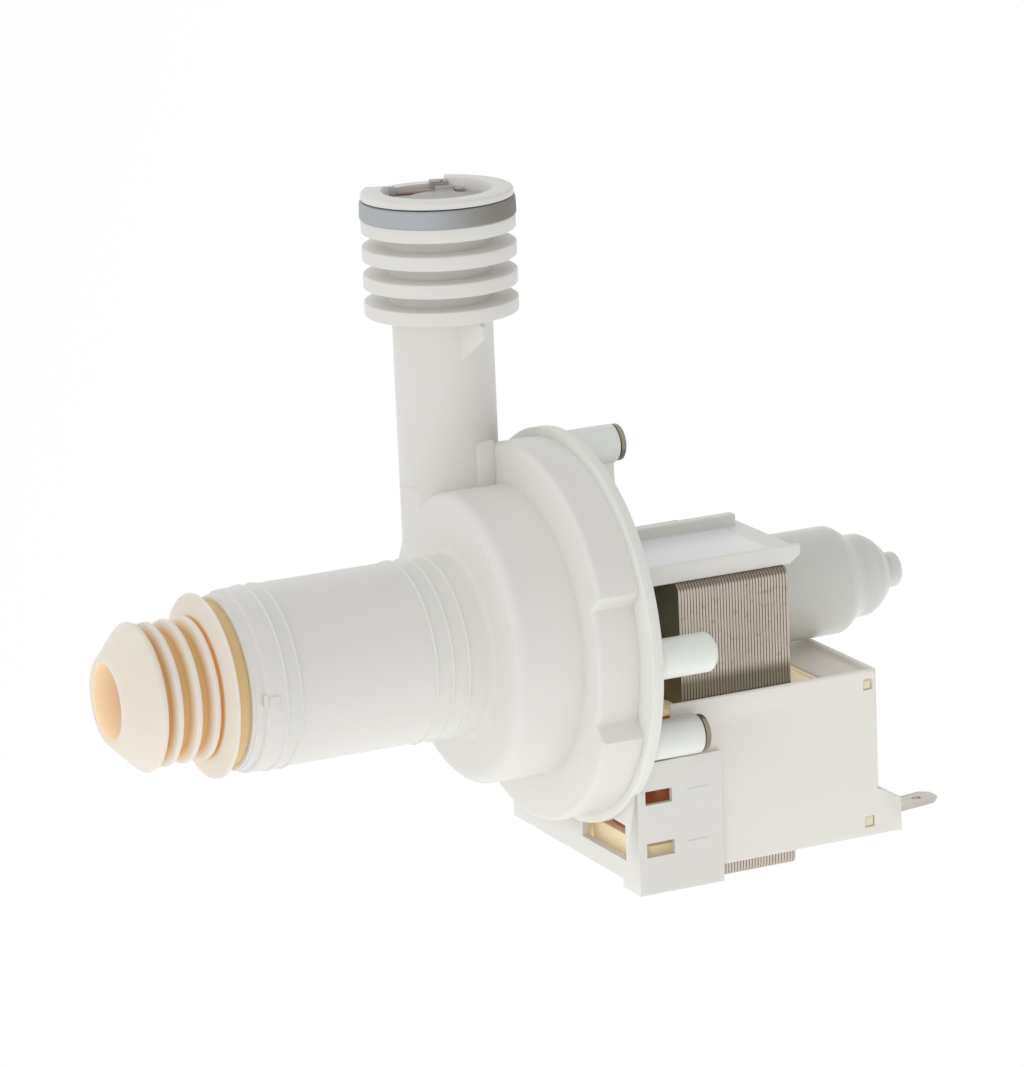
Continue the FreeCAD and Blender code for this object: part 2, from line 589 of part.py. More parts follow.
# Motor flange and coil bracket
def bracket_pieces():
    side_y = BRACKET_HALF_Y - BRACKET_WALL
    pieces = []
    for s in (-1, 1):
        y0, y1 = sorted((s * side_y, s * BRACKET_HALF_Y))
        bottom_z = FLOOR_Z if s < 0 else BRACKET_SHELF_Z
        wall = box(BRACKET_X0, BRACKET_X1, y0, y1, bottom_z, BRACKET_TOP_Z)
        for x0, x1, z0, z1 in SIDE_WINDOWS:
            wall = wall.cut(box(x0, x1, y0 - 1, y1 + 1, z0, z1))
        pieces.append(wall)
        for x0, x1, z0, z1 in SNAP_LEDGES:
            ly0, ly1 = sorted((s * (BRACKET_HALF_Y - 0.2), s * (BRACKET_HALF_Y + LEDGE_H)))
            pieces.append(box(x0, x1, ly0, ly1, z0, z1))
    foot_z1 = BRACKET_SHELF_Z + 0.5
    pieces.append(box(BRACKET_X0, BRACKET_X0 + FOOT_T, -BRACKET_HALF_Y, -FOOT_Y, FLOOR_Z, foot_z1))
    front = box(BRACKET_X0, BRACKET_X0 + BRACKET_FRONT_WALL, -BRACKET_HALF_Y, BRACKET_HALF_Y,
                BRACKET_SHELF_Z, BRACKET_TOP_Z - 2.2)
    front = front.cut(box(BRACKET_X0 - 1, BRACKET_X0 + 4, FRONT_OPENING_Y[0], FRONT_OPENING_Y[1],
                          FRONT_OPENING_Z[0], FRONT_OPENING_Z[1]))
    pieces.append(front)
    shelf = box(BRACKET_X0, BRACKET_SHELF_X1, -side_y - 0.2, side_y + 0.2, BRACKET_SHELF_Z,
                BRACKET_SHELF_Z + BRACKET_SHELF_T)
    hole = box(SHELF_HOLE[0], SHELF_HOLE[1], -SHELF_HOLE_Y, SHELF_HOLE_Y, BRACKET_SHELF_Z - 1,
               BRACKET_SHELF_Z + BRACKET_SHELF_T + 1)
    pieces.append(shelf.cut(hole))
    return pieces


def make_coil_bracket():
    return fuse(bracket_pieces()).cut(make_motor_flange())


def make_motor_flange():
    pieces = [rod(PLATE_X0, PLATE_X1, PLATE_R), rod(SPIGOT_X0, PLATE_X0 + 0.5, SPIGOT_R)]
    for deg in SCREW_DEG.values():
        y, z = polar(BOSS_RING_R, deg)
        pieces.append(rod(PLATE_X0 + 1, BOSS_X1, BOSS_R, y, z))
    rib = box(PLATE_X0 + 1, BOSS_X1 - 0.4, BOSS_RIB_R0, BOSS_RING_R, -BOSS_RIB_T / 2, BOSS_RIB_T / 2)
    rib.rotate(V(0, 0, 0), X, SCREW_DEG["top"])
    pieces.append(rib)
    for deg in PLAIN_DEG:
        y, z = polar(BOSS_RING_R, deg)
        boss = rod(PLATE_X0 + 1, PLAIN_X1, PLAIN_R, y, z)
        end = [e for e in boss.Edges if e.BoundBox.XMin > PLAIN_X1 - 0.01 and e.BoundBox.YLength > PLAIN_R]
        pieces.append(boss.makeChamfer(PLAIN_CHAMFER, end))
    # collar around the can and stiffening ribs on the rear
    pieces.append(ring(PLATE_X1 - 0.5, WEB_X1, COLLAR_RING_R, BORE_R + 0.2))
    for deg in WEB_DEG:
        web = box(PLATE_X1 - 0.5, WEB_X1, COLLAR_RING_R - 0.4, WEB_R, -WEB_T / 2, WEB_T / 2)
        web.rotate(V(0, 0, 0), X, deg)
        pieces.append(web)
    body = fuse(pieces)
    cuts = [rod(SPIGOT_X0 - 1, WEB_X1 + 1, CAN_R + 0.1)]
    cuts.append(rod(SPIGOT_X0 - 1, CAN_FLANGE_X1 + 0.02, CAN_FLANGE_R + 0.1))
    groove_x1 = CAN_FLANGE_X1 + 2 * CAN_RING_R + 0.1
    groove_ro = CAN_RING_MAJOR + 2 * CAN_RING_R
    groove_ri = CAN_RING_MAJOR - 2 * CAN_RING_R
    cuts.append(ring(CAN_FLANGE_X1 - 0.1, groove_x1, groove_ro, groove_ri))
    cuts.append(ring(ORING_X - ORING_R, ORING_X + ORING_R, SPIGOT_R + 2, ORING_MAJOR - ORING_R))
    for deg in SCREW_DEG.values():
        y, z = polar(BOSS_RING_R, deg)
        cuts.append(rod(SPIGOT_X0, BOSS_X1 + 1, SCREW_CLEAR_R, y, z))
    return body.cut(Part.makeCompound(cuts))


def make_oring(x, major, minor):
    # round section drawn with four sides
    return spin(arc(x, major, minor, 45, 315, 3))


def make_screw(deg):
    y, z = polar(BOSS_RING_R, deg)
    shank = rod(SCREW_TIP_X + 0.4, BOSS_X1, SCREW_R, y, z)
    head = rod(BOSS_X1, BOSS_X1 + SCREW_HEAD_H, SCREW_HEAD_R, y, z)
    top_x = BOSS_X1 + SCREW_HEAD_H
    rim = [e for e in head.Edges if e.BoundBox.XMin > top_x - 0.01 and e.BoundBox.YLength > SCREW_HEAD_R]
    head = head.makeChamfer(SCREW_HEAD_EDGE, rim)
    half, t = RECESS_HALF, RECESS_T / 2
    bottom = top_x - RECESS_DEPTH
    cross = fuse([box(bottom, BOSS_X1 + 2, y - half, y + half, z - t, z + t),
                  box(bottom, BOSS_X1 + 2, y - t, y + t, z - half, z + half)])
    return fuse([shank, head]).cut(cross)


# Rotor can, bearings and rotor
def make_rotor_can():
    outer = [(SPIGOT_X0, CAN_FLANGE_R), (CAN_FLANGE_X1, CAN_FLANGE_R), (CAN_FLANGE_X1, CAN_R),
             (CAN_END_X - 0.6, CAN_R), (CAN_END_X + 1.3, CAN_R - 0.6), (CAN_END_X + 2.9, CAN_STEP_R + 0.8),
             (CAN_STEP_X0, CAN_STEP_R), (CAN_STEP_X1 - 1.0, CAN_STEP_R),
             (CAN_STEP_X1 + 1.2, CAN_STEP_R - 0.6), (CAN_STEP_X1 + 3.2, KNOB_R + 2.4), (KNOB_X0, KNOB_R),
             (KNOB_X1 - 0.6, KNOB_R),
             (KNOB_X1, KNOB_R - 0.9), (KNOB_X1, 0.0)]
    end_x = SHAFT_X1 + 0.8
    inner = [(KNOB_X1 - 1.6, 0.0), (KNOB_X1 - 1.6, SHAFT_R + 0.6), (end_x, SHAFT_R + 0.6),
             (end_x, BEARING_R + 0.3), (REAR_BEARING[1], BEARING_R + 1.5), (REAR_BEARING[1], GROMMET_R),
             (REAR_BEARING[0] - 0.2, GROMMET_R), (CAN_END_X - 0.7, CAN_IN_R), (SPIGOT_X0, CAN_IN_R)]
    return spin(outer + inner)


def make_bearing_holder():
    cup = rod(SPIGOT_X0 + SEAT_GAP, HOLDER_X1, CAN_IN_R)
    cup = cup.cut(ring(CAN_FLANGE_X1 + 0.4, HOLDER_X1 + 1, CAN_IN_R - HOLDER_WALL, BEARING_R + HOLDER_WALL))
    cup = cup.cut(rod(0, HOLDER_X1 + 1, SHAFT_R + 0.5))
    return cup.cut(rod(FRONT_BEARING[0], HOLDER_X1 + 1, BEARING_R))


def make_bearing(span):
    return ring(span[0], span[1], BEARING_R, SHAFT_R + RUN_FIT)


def make_grommet():
    return ring(REAR_BEARING[0], REAR_BEARING[1], GROMMET_R, BEARING_R)


def make_shaft():
    shaft = rod(SHAFT_X0, SHAFT_X1, SHAFT_R)
    ends = [e for e in shaft.Edges if e.BoundBox.XLength < 0.01]
    return shaft.makeChamfer(SHAFT_EDGE, ends)


def make_rotor_core():
    reach = CORE_DISC_T + CORE_NECK
    core = ring(MAGNET_X0 - reach, MAGNET_X1 + reach, CORE_R, SHAFT_R)
    front = ring(MAGNET_X0 - CORE_DISC_T, MAGNET_X0, MAGNET_R - 0.3, SHAFT_R)
    rear = ring(MAGNET_X1, MAGNET_X1 + CORE_DISC_T, MAGNET_R - 0.3, SHAFT_R)
    return fuse([core, front, rear])


def make_magnet():
    return ring(MAGNET_X0, MAGNET_X1, MAGNET_R, CORE_R)


def make_drive_dog():
    hub = ring(DOG_X0, DOG_X1, DOG_R, SHAFT_R)
    lug = wedge(DOG_X0 + 0.2, HUB_X1 - 0.5, DOG_R - 0.5, DOG_LUG_R, 90.0, DOG_LUG_DEG / 2)
    return fuse([hub, lug])


def make_impeller():
    hub = ring(HUB_X0, HUB_X1, HUB_OUT_R, HUB_IN_R)
    cap = spin([(BLADE_X0, 0.0), (BLADE_X0, HUB_NOSE_R), (HUB_X0 + 0.2, HUB_OUT_R),
                (DOG_X0 - BODY_GAP, HUB_OUT_R), (DOG_X0 - BODY_GAP, 0.0)])
    shroud = ring(SHROUD_X0, HUB_X1, BLADE_R - 0.6, HUB_IN_R)
    pieces = [hub, cap, shroud]
    for i in range(BLADES):
        side = [(BLADE_X0 + 0.6, HUB_OUT_R - 1.1), (BLADE_X0 + 0.6 + BLADE_SLOPE, BLADE_R),
                (HUB_X1, BLADE_R), (HUB_X1, HUB_OUT_R - 1.1)]
        blade = prism_y(side, -BLADE_T / 2, BLADE_T / 2)
        blade.rotate(V(0, 0, 0), X, 360.0 / BLADES * i + 15.0)
        pieces.append(blade)
    stop_mid = 90.0 - DOG_LUG_DEG / 2 - REST_GAP_DEG - STOP_LUG_DEG / 2
    pieces.append(wedge(DOG_X0 + 0.2, HUB_X1, DOG_R + BODY_GAP, HUB_IN_R + 0.4, stop_mid, STOP_LUG_DEG / 2))
    body = fuse(pieces)
    cuts = [rod(0, HUB_X1 + 1, SHAFT_R + RUN_FIT), rod(DOG_X0 - BODY_GAP, HUB_X1 + 1, DOG_R + BODY_GAP)]
    return body.cut(Part.makeCompound(cuts))


def make_clip():
    return ring(SHAFT_X0 + 0.4, BLADE_X0 - BODY_GAP, CLIP_R, SHAFT_R)


# Core, cap and coils
def make_pole_stack():
    arm = box(STACK_X0, STACK_X1, -STACK_HALF_Y, STACK_HALF_Y, STACK_ARM_Z, STACK_TOP_Z)
    for side, radius in ((-1, STACK_CORNER), (1, STACK_FAR_CORNER)):
        tops = [e for e in arm.Edges if e.BoundBox.XLength > 10 and e.BoundBox.ZMin > 0]
        arm = arm.makeFillet(radius, [e for e in tops if e.BoundBox.YMin * side > STACK_HALF_Y - 0.1])
    legs = []
    for s in (-1, 1):
        y0, y1 = sorted((s * LEG_Y0, s * LEG_Y1))
        legs.append(box(STACK_X0, STACK_X1, y0, y1, YOKE_Z1, STACK_ARM_Z + 1))
    body = fuse([arm] + legs)
    bore = rod(STACK_X0 - 1, STACK_X1 + 1, BORE_R)
    # stepped air gap: a shallow relief on one side of each pole face
    for deg in (38.0, 218.0):
        step_r = BORE_R + AIR_STEP
        body = body.cut(wedge(STACK_X0 - 1, STACK_X1 + 1, BORE_R - 1, step_r, deg, AIR_STEP_HALF_DEG))
    return body.cut(bore)


def make_yoke_stack():
    yoke = box(STACK_X0, STACK_X1, -STACK_HALF_Y, STACK_HALF_Y, FLOOR_Z, YOKE_Z1)
    corners = [e for e in yoke.Edges if e.BoundBox.XLength > 10 and e.BoundBox.ZMax < YOKE_Z1 - 1]
    return yoke.makeFillet(YOKE_CORNER, corners)


def make_core_cap():
    under_z = CAP_TOP_Z - CAP_EDGE / 2
    side = prism_y([(CAP_X0, STACK_TOP_Z), (CAP_X1 - 2.4, STACK_TOP_Z), (CAP_X1, STACK_TOP_Z + 1.6),
                    (CAP_X1, CAP_RAIL_Z), (CAP_X0, CAP_RAIL_Z)], CAP_Y0, CAP_Y0 + CAP_RAIL_T)
    plate = box(CAP_X0, CAP_X1, CAP_Y0, CAP_Y1, CAP_TOP_Z - CAP_T, CAP_TOP_Z)
    ridge = box(CAP_X0, CAP_RIDGE_X1, -CAP_RIDGE_T, 0.0, CAP_TOP_Z - CAP_EDGE, CAP_RIDGE_Z)
    tops = [e for e in ridge.Edges if e.BoundBox.XLength > 10 and e.BoundBox.ZMin > CAP_RIDGE_Z - 0.01]
    ridge = ridge.makeFillet(CAP_EDGE, tops)
    far = box(CAP_X0, CAP_X1 - 0.5, CAP_Y1 - CAP_T, CAP_Y1, STACK_TOP_Z, under_z)
    ribs = [box(CAP_X0, CAP_X1 - 2.0, y, y + 1.2, STACK_TOP_Z, under_z) for y in (-16.0, -7.0)]
    hook = box(STACK_X1 + SEAT_GAP, STACK_X1 + SEAT_GAP + HOOK_T, HOOK_Y[0], HOOK_Y[1], HOOK_Z, under_z)
    body = fuse([side, plate, ridge, far, hook] + ribs)
    bevel = prism_x([(CAP_Y1 - CAP_BEVEL, CAP_TOP_Z + 0.01), (CAP_Y1 + 1, CAP_TOP_Z + 0.01),
                     (CAP_Y1 + 1, CAP_TOP_Z - CAP_BEVEL)], CAP_X0 - 1, CAP_X1 + 1)
    return body.cut(bevel).cut(rod(CAP_X0 - 1, CAP_X1 + 1, CAN_R + 0.15))


def make_label():
    return box(CAP_X0 + 2.0, CAP_X1 - 5.5, CAP_Y0 + CAP_RAIL_T + 1.2, -CAP_RIDGE_T - 0.6, CAP_TOP_Z,
               CAP_TOP_Z + LABEL_T)


def make_bobbin():
    # near side; the far one is its mirror image
    tube = box(STACK_X0 - BOBBIN_WALL, STACK_X1 + BOBBIN_WALL, -LEG_Y1 - BOBBIN_WALL, -LEG_Y0 + BOBBIN_WALL,
               BOBBIN_BOTTOM_Z, BOBBIN_TOP_Z)
    flanges = []
    for z in (BOBBIN_BOTTOM_Z, BOBBIN_TOP_Z - BOBBIN_FLANGE):
        plate = box(BOBBIN_X0, BOBBIN_X1, -BOBBIN_Y1, -BOBBIN_Y0, z, z + BOBBIN_FLANGE)
        posts = [e for e in plate.Edges if e.BoundBox.ZLength > 1]
        flanges.append(plate.makeFillet(BOBBIN_CORNER, posts))
    # the lip shows through the bracket's openings
    lip = box(BOBBIN_X0, BOBBIN_X0 + BOBBIN_LIP, -BOBBIN_Y1, -BOBBIN_Y0, BOBBIN_LIP_Z0,
              BOBBIN_BOTTOM_Z + BOBBIN_FLANGE)
    posts = [e for e in lip.Edges if e.BoundBox.ZLength > 1 and e.BoundBox.XMax < BOBBIN_X0 + 0.1]
    body = fuse([tube, lip.makeFillet(BOBBIN_CORNER, posts)] + flanges)
    return body.cut(box(STACK_X0, STACK_X1, -LEG_Y1, -LEG_Y0, BOBBIN_BOTTOM_Z - 1, BOBBIN_TOP_Z + 1))


def make_winding():
    z0 = BOBBIN_BOTTOM_Z + BOBBIN_FLANGE
    z1 = BOBBIN_TOP_Z - BOBBIN_FLANGE
    coil = box(WINDING_X0, WINDING_X1, -WINDING_Y1, -WINDING_Y0, z0, z1)
    posts = [e for e in coil.Edges if e.BoundBox.ZLength > COIL_H / 2]
    coil = coil.makeFillet(WINDING_CORNER, posts)
    return coil.cut(box(STACK_X0 - BOBBIN_WALL, STACK_X1 + BOBBIN_WALL, -LEG_Y1 - BOBBIN_WALL,
                        -LEG_Y0 + BOBBIN_WALL, z0 - 1, z1 + 1))


def make_coil_cover():
    h = COVER_HALF_Y
    w = COVER_WALL
    outer = box(COVER_X0, COVER_X1, -h, h, COVER_BOTTOM_Z, COVER_TOP_Z)
    rims = [e for e in outer.Edges if e.BoundBox.XLength > 10 and e.BoundBox.ZMin > COVER_TOP_Z - 0.1]
    rims += [e for e in outer.Edges if e.BoundBox.ZLength > 10 and e.BoundBox.XMin > COVER_X1 - 0.1]
    outer = outer.makeFillet(COVER_EDGE, rims)
    rear_x = COVER_X1 - COVER_FLOOR_T
    floor_z = COVER_BOTTOM_Z + COVER_FLOOR_T
    inner = box(COVER_X0 - 1, rear_x, -h + w, h - w, floor_z, COVER_TOP_Z + 1)
    body = outer.cut(inner)
    shelf = box(COVER_SHELF_X, COVER_X1 - COVER_EDGE, -h + w / 2, h - w / 2, COVER_SHELF_Z - COVER_SHELF_T,
                COVER_SHELF_Z)
    block = prism_y([(rear_x, COVER_BOTTOM_Z), (BLOCK_X1, COVER_BOTTOM_Z), (BLOCK_X1, BLOCK_EDGE_Z),
                     (rear_x, BLOCK_TOP_Z + 0.4)], -h, h)
    body = fuse([body, shelf, block])
    cuts = []
    for s in (-1, 1):
        for x0, x1, z0, z1 in SNAP_WINDOWS:
            y0, y1 = sorted((s * (h + 1), s * (h - w - 0.1)))
            cuts.append(box(x0, x1, y0, y1, z0, z1))
        # pocket of the terminal carrier and the tab's slot in the rear wall
        y0, y1 = sorted((s * 14.6, s * (h - w)))
        cuts.append(box(COVER_X1 - 2, BLOCK_X1 - 1.4, y0, y1, floor_z, BLOCK_EDGE_Z - 0.9))
        slot_y0, slot_y1 = sorted((s * (TAB_Y - TAB_W / 2 - 0.3), s * (TAB_Y + TAB_W / 2 + 0.3)))
        cuts.append(box(BLOCK_X1 - 3, BLOCK_X1 + 1, slot_y0, slot_y1, TAB_Z - 0.7, TAB_Z + 0.9))
    # yoke opening in the floor
    cuts.append(box(STACK_X0 - 0.1, STACK_X1 + 0.1, -STACK_HALF_Y - 0.05, STACK_HALF_Y + 0.05,
                    COVER_BOTTOM_Z - 1, COVER_BOTTOM_Z + 1.3))
    for name in ("near", "far"):
        y, z = polar(BOSS_RING_R, SCREW_DEG[name])
        cuts.append(rod(COVER_X0 - 1, BOSS_X1 + SCREW_HEAD_H + SCREW_HEAD_ROOM, BOSS_R + SEAT_GAP, y, z))
    return body.cut(Part.makeCompound(cuts))


def make_carrier():
    h = COVER_HALF_Y - COVER_WALL
    rear_x = COVER_X1 - COVER_FLOOR_T - 0.05
    floor_z = COVER_BOTTOM_Z + COVER_FLOOR_T
    top_z = floor_z + 4.4
    shelf_z = COVER_SHELF_Z - COVER_SHELF_T
    pieces = [box(BOBBIN_X1 + 1.8, rear_x, -h, h, floor_z, top_z)]
    for s in (-1, 1):
        y0, y1 = sorted((s * (h - 2.0), s * h))
        pieces.append(box(COVER_X1 - 3.7, rear_x, y0, y1, top_z - 0.2, shelf_z))
        for x0, x1, z0, z1 in SNAP_WINDOWS:
            py0, py1 = sorted((s * (h - 0.5), s * (h + COVER_WALL - BODY_GAP)))
            pieces.append(box(x0 + 0.1, min(x1 - 0.1, rear_x), py0, py1, z0 + 0.1, min(z1, shelf_z) - 0.1))
        ny0, ny1 = sorted((s * 14.7, s * (h - 0.1)))
        pieces.append(box(rear_x - 0.05, BLOCK_X1 - 1.5, ny0, ny1, floor_z, top_z))
    return fuse(pieces).cut(Part.makeCompound([terminal_blank(s) for s in (-1, 1)]))


def terminal_blank(side):
    half = TAB_W / 2
    outline = [(TAB_ROOT_X, -half), (TAB_TIP_X - TAB_TIP, -half), (TAB_TIP_X, -half + TAB_TIP),
               (TAB_TIP_X, half - TAB_TIP), (TAB_TIP_X - TAB_TIP, half), (TAB_ROOT_X, half)]
    points = [V(x, y, 0) for x, y in outline]
    tab = Part.Face(Part.makePolygon(points + [points[0]])).extrude(V(0, 0, TAB_T))
    tab.translate(V(0, side * TAB_Y, TAB_Z - TAB_T / 2))
    tab.rotate(V(BLOCK_X1, side * TAB_Y, TAB_Z), Y, -TAB_TILT)
    return tab


def make_terminal(side):
    tab = terminal_blank(side)
    hole = Part.makeCylinder(TAB_HOLE_R, 6, V(TAB_TIP_X - 4.2, side * TAB_Y, TAB_Z - 2), Z)
    ends = [e for e in tab.Edges if e.BoundBox.XMin > TAB_TIP_X - 0.4 and e.BoundBox.YLength > 1]
    return tab.makeChamfer(0.2, ends).cut(hole)


save("volute_housing", make_volute_housing())
save("inlet_tube", make_inlet_tube())
save("outlet_pipe", make_outlet_pipe())
save("inlet_bellows_seal", make_inlet_seal())
save("outlet_seal_ring", make_outlet_seal())
save("valve_seat", make_valve_seat())
save("valve_hinge_pin", make_hinge_pin())
save("valve_flap", make_valve_flap())
save("motor_flange", make_motor_flange())
save("coil_bracket", make_coil_bracket())
save("housing_o_ring", make_oring(ORING_X, ORING_MAJOR, ORING_R))
save("can_o_ring", make_oring(CAN_FLANGE_X1 + CAN_RING_R, CAN_RING_MAJOR, CAN_RING_R))
for name, deg in SCREW_DEG.items():
    save("flange_screw_" + name, make_screw(deg))
save("rotor_can", make_rotor_can())
save("bearing_holder", make_bearing_holder())
save("front_bearing", make_bearing(FRONT_BEARING))
save("rear_bearing", make_bearing(REAR_BEARING))
save("rear_bearing_grommet", make_grommet())
save("rotor_shaft", make_shaft())
save("rotor_core", make_rotor_core())
save("rotor_magnet", make_magnet())
save("drive_dog", make_drive_dog())
save("impeller_clip", make_clip())
save("impeller", make_impeller())
save("pole_stack", make_pole_stack())
save("yoke_stack", make_yoke_stack())
save("core_cap", make_core_cap())
save("blank_label", make_label())
bobbin = make_bobbin()
save("bobbin_near", bobbin)
save("bobbin_far", mirror_y(bobbin))
winding = make_winding()
save("winding_near", winding)
save("winding_far", mirror_y(winding))
save("coil_cover", make_coil_cover())
save("terminal_carrier", make_carrier())
save("spade_terminal_near", make_terminal(-1))
save("spade_terminal_far", make_terminal(1))
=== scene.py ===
import bmesh
import bpy
import math
from mathutils import Matrix, Vector


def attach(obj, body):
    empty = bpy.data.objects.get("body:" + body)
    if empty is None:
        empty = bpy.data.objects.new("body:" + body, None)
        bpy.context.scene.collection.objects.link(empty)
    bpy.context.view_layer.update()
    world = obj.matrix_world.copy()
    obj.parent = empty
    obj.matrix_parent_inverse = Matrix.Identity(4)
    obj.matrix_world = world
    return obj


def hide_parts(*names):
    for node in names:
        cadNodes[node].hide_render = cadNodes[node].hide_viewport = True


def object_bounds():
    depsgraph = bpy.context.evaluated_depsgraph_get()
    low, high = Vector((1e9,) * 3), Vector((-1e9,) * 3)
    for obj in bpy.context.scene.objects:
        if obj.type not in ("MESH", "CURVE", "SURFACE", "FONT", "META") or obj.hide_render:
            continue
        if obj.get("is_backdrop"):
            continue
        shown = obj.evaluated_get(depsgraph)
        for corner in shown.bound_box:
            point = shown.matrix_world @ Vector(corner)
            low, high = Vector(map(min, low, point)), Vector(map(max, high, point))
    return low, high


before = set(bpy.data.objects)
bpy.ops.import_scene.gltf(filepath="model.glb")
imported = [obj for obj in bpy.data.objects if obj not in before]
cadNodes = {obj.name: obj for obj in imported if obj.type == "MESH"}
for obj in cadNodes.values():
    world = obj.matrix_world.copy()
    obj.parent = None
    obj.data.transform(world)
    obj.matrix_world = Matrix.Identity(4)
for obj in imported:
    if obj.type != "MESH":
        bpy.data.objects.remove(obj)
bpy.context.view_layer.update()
mm = 0.001
drumFace = 72.9  # the drum's front face, measured along X from the mouth
outlet = {"x": drumFace + 8.7, "y": 18.33}
print("frame loaded with", len(cadNodes), "CAD nodes")


# mesh helpers, all sizes in millimetres
def linkPiece(name, mesh):
    piece = bpy.data.objects.new(name, mesh)
    bpy.context.scene.collection.objects.link(piece)
    return piece


def pieceFromBmesh(name, bm):
    bmesh.ops.recalc_face_normals(bm, faces=bm.faces)
    mesh = bpy.data.meshes.new(name)
    bm.to_mesh(mesh)
    bm.free()
    return linkPiece(name, mesh)


def soften(points, steps=5):
    # points are (along, radius) or (along, radius, corner radius)
    smooth = []
    for i, point in enumerate(points):
        here = Vector(point[:2])
        if len(point) < 3:
            smooth.append(tuple(here))
            continue
        toBefore = Vector(points[i - 1][:2]) - here
        toAfter = Vector(points[(i + 1) % len(points)][:2]) - here
        half = toBefore.angle(toAfter) / 2
        reach = min(point[2] / math.tan(half), toBefore.length * 0.49, toAfter.length * 0.49)
        before, after = toBefore.normalized(), toAfter.normalized()
        start = here + before * reach
        end = here + after * reach
        middle = here + (before + after).normalized() * reach / math.cos(half)
        a, b = start - middle, end - middle
        turn = math.atan2(a.x * b.y - a.y * b.x, a.dot(b))
        for k in range(steps + 1):
            t = turn * k / steps
            smooth.append((middle.x + a.x * math.cos(t) - a.y * math.sin(t),
                           middle.y + a.x * math.sin(t) + a.y * math.cos(t)))
    return smooth


def lathe(name, profile, axis="X", centre=(0.0, 0.0), segments=128):
    bm = bmesh.new()
    rings = []
    for along, radius in profile:
        ring = []
        for k in range(segments if radius > 1e-6 else 1):
            angle = 2 * math.pi * k / segments
            u = centre[0] + radius * math.cos(angle)
            v = centre[1] + radius * math.sin(angle)
            spot = (along, u, v) if axis == "X" else (u, v, along)
            ring.append(bm.verts.new([c * mm for c in spot]))
        rings.append(ring)
    for i, ring in enumerate(rings):
        after = rings[(i + 1) % len(rings)]
        if len(ring) == 1 and len(after) == 1:
            continue
        for k in range(segments):
            j = (k + 1) % segments
            if len(ring) == 1:
                bm.faces.new((ring[0], after[j], after[k]))
            elif len(after) == 1:
                bm.faces.new((ring[k], ring[j], after[0]))
            else:
                bm.faces.new((ring[k], ring[j], after[j], after[k]))
    return pieceFromBmesh(name, bm)


def rod(name, x0, x1, radius, centre=(0.0, 0.0), segments=96):
    return lathe(name, soften([(x0, 0), (x0, radius), (x1, radius), (x1, 0)]), "X", centre, segments)


def post(name, z0, z1, radius, segments=128):
    profile = soften([(z0, 0), (z0, radius), (z1, radius), (z1, 0)])
    return lathe(name, profile, "Z", (outlet["x"], outlet["y"]), segments)


def slab(name, low, high, matrix=None):
    bm = bmesh.new()
    bmesh.ops.create_cube(bm, size=1.0)
    for v in bm.verts:
        v.co = Vector([(low[i] + (high[i] - low[i]) * (v.co[i] + 0.5)) for i in range(3)])
        if matrix:
            v.co = matrix @ v.co
        v.co *= mm
    return pieceFromBmesh(name, bm)


def prism(name, outline, low, high, axis="X"):
    # outline: (y, z) pairs for X, (x, z) for Y, (x, y) for Z
    order = {"X": (2, 0, 1), "Y": (0, 2, 1), "Z": (0, 1, 2)}[axis]
    bm = bmesh.new()
    ends = [[bm.verts.new([(u, v, w)[k] * mm for k in order]) for u, v in outline] for w in (low, high)]
    bm.faces.new(ends[0])
    bm.faces.new(ends[1][::-1])
    for k in range(len(outline)):
        j = (k + 1) % len(outline)
        bm.faces.new((ends[0][k], ends[1][k], ends[1][j], ends[0][j]))
    return pieceFromBmesh(name, bm)


def applyModifiers(piece):
    graph = bpy.context.evaluated_depsgraph_get()
    done = bpy.data.meshes.new_from_object(piece.evaluated_get(graph), depsgraph=graph)
    piece.modifiers.clear()
    old = piece.data
    piece.data = done
    bpy.data.meshes.remove(old)
    return piece


def combine(piece, tools, operation="UNION"):
    for tool in tools:
        step = piece.modifiers.new("combine", "BOOLEAN")
        step.operation = operation
        step.solver = "EXACT"
        step.object = tool
        applyModifiers(piece)
        bpy.data.objects.remove(tool)
    return piece


def joinPieces(piece, others):
    # loose parts of one piece in one mesh
    bm = bmesh.new()
    for part in [piece] + others:
        bm.from_mesh(part.data)
    bm.to_mesh(piece.data)
    bm.free()
    for part in others:
        bpy.data.objects.remove(part)
    return piece


def roundEdges(piece, width, segments=3, angle=30):
    step = piece.modifiers.new("round", "BEVEL")
    step.width = width * mm
    step.segments = segments
    step.limit_method = "ANGLE"
    step.angle_limit = math.radians(angle)
    step.use_clamp_overlap = False
    return applyModifiers(piece)


def cadCopy(name, node, width):
    # the CAD solid's own shape with its loose triangles joined and its edges rounded
    bm = bmesh.new()
    bm.from_mesh(cadNodes[node].data)
    bmesh.ops.remove_doubles(bm, verts=bm.verts, dist=0.002 * mm)
    bmesh.ops.dissolve_limit(bm, angle_limit=math.radians(1.0), verts=bm.verts, edges=bm.edges)
    piece = pieceFromBmesh(name, bm)
    return roundEdges(piece, width, angle=35) if width else piece


def finishPiece(piece, material, body, replaced, sharp=40):
    piece.data.materials.clear()
    piece.data.materials.append(material)
    for polygon in piece.data.polygons:
        polygon.material_index = 0
    piece.data.shade_smooth()
    piece.data.set_sharp_from_angle(angle=math.radians(sharp))
    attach(piece, body)
    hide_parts(*replaced)
    print("piece", piece.name, len(piece.data.polygons), "faces")
    return piece


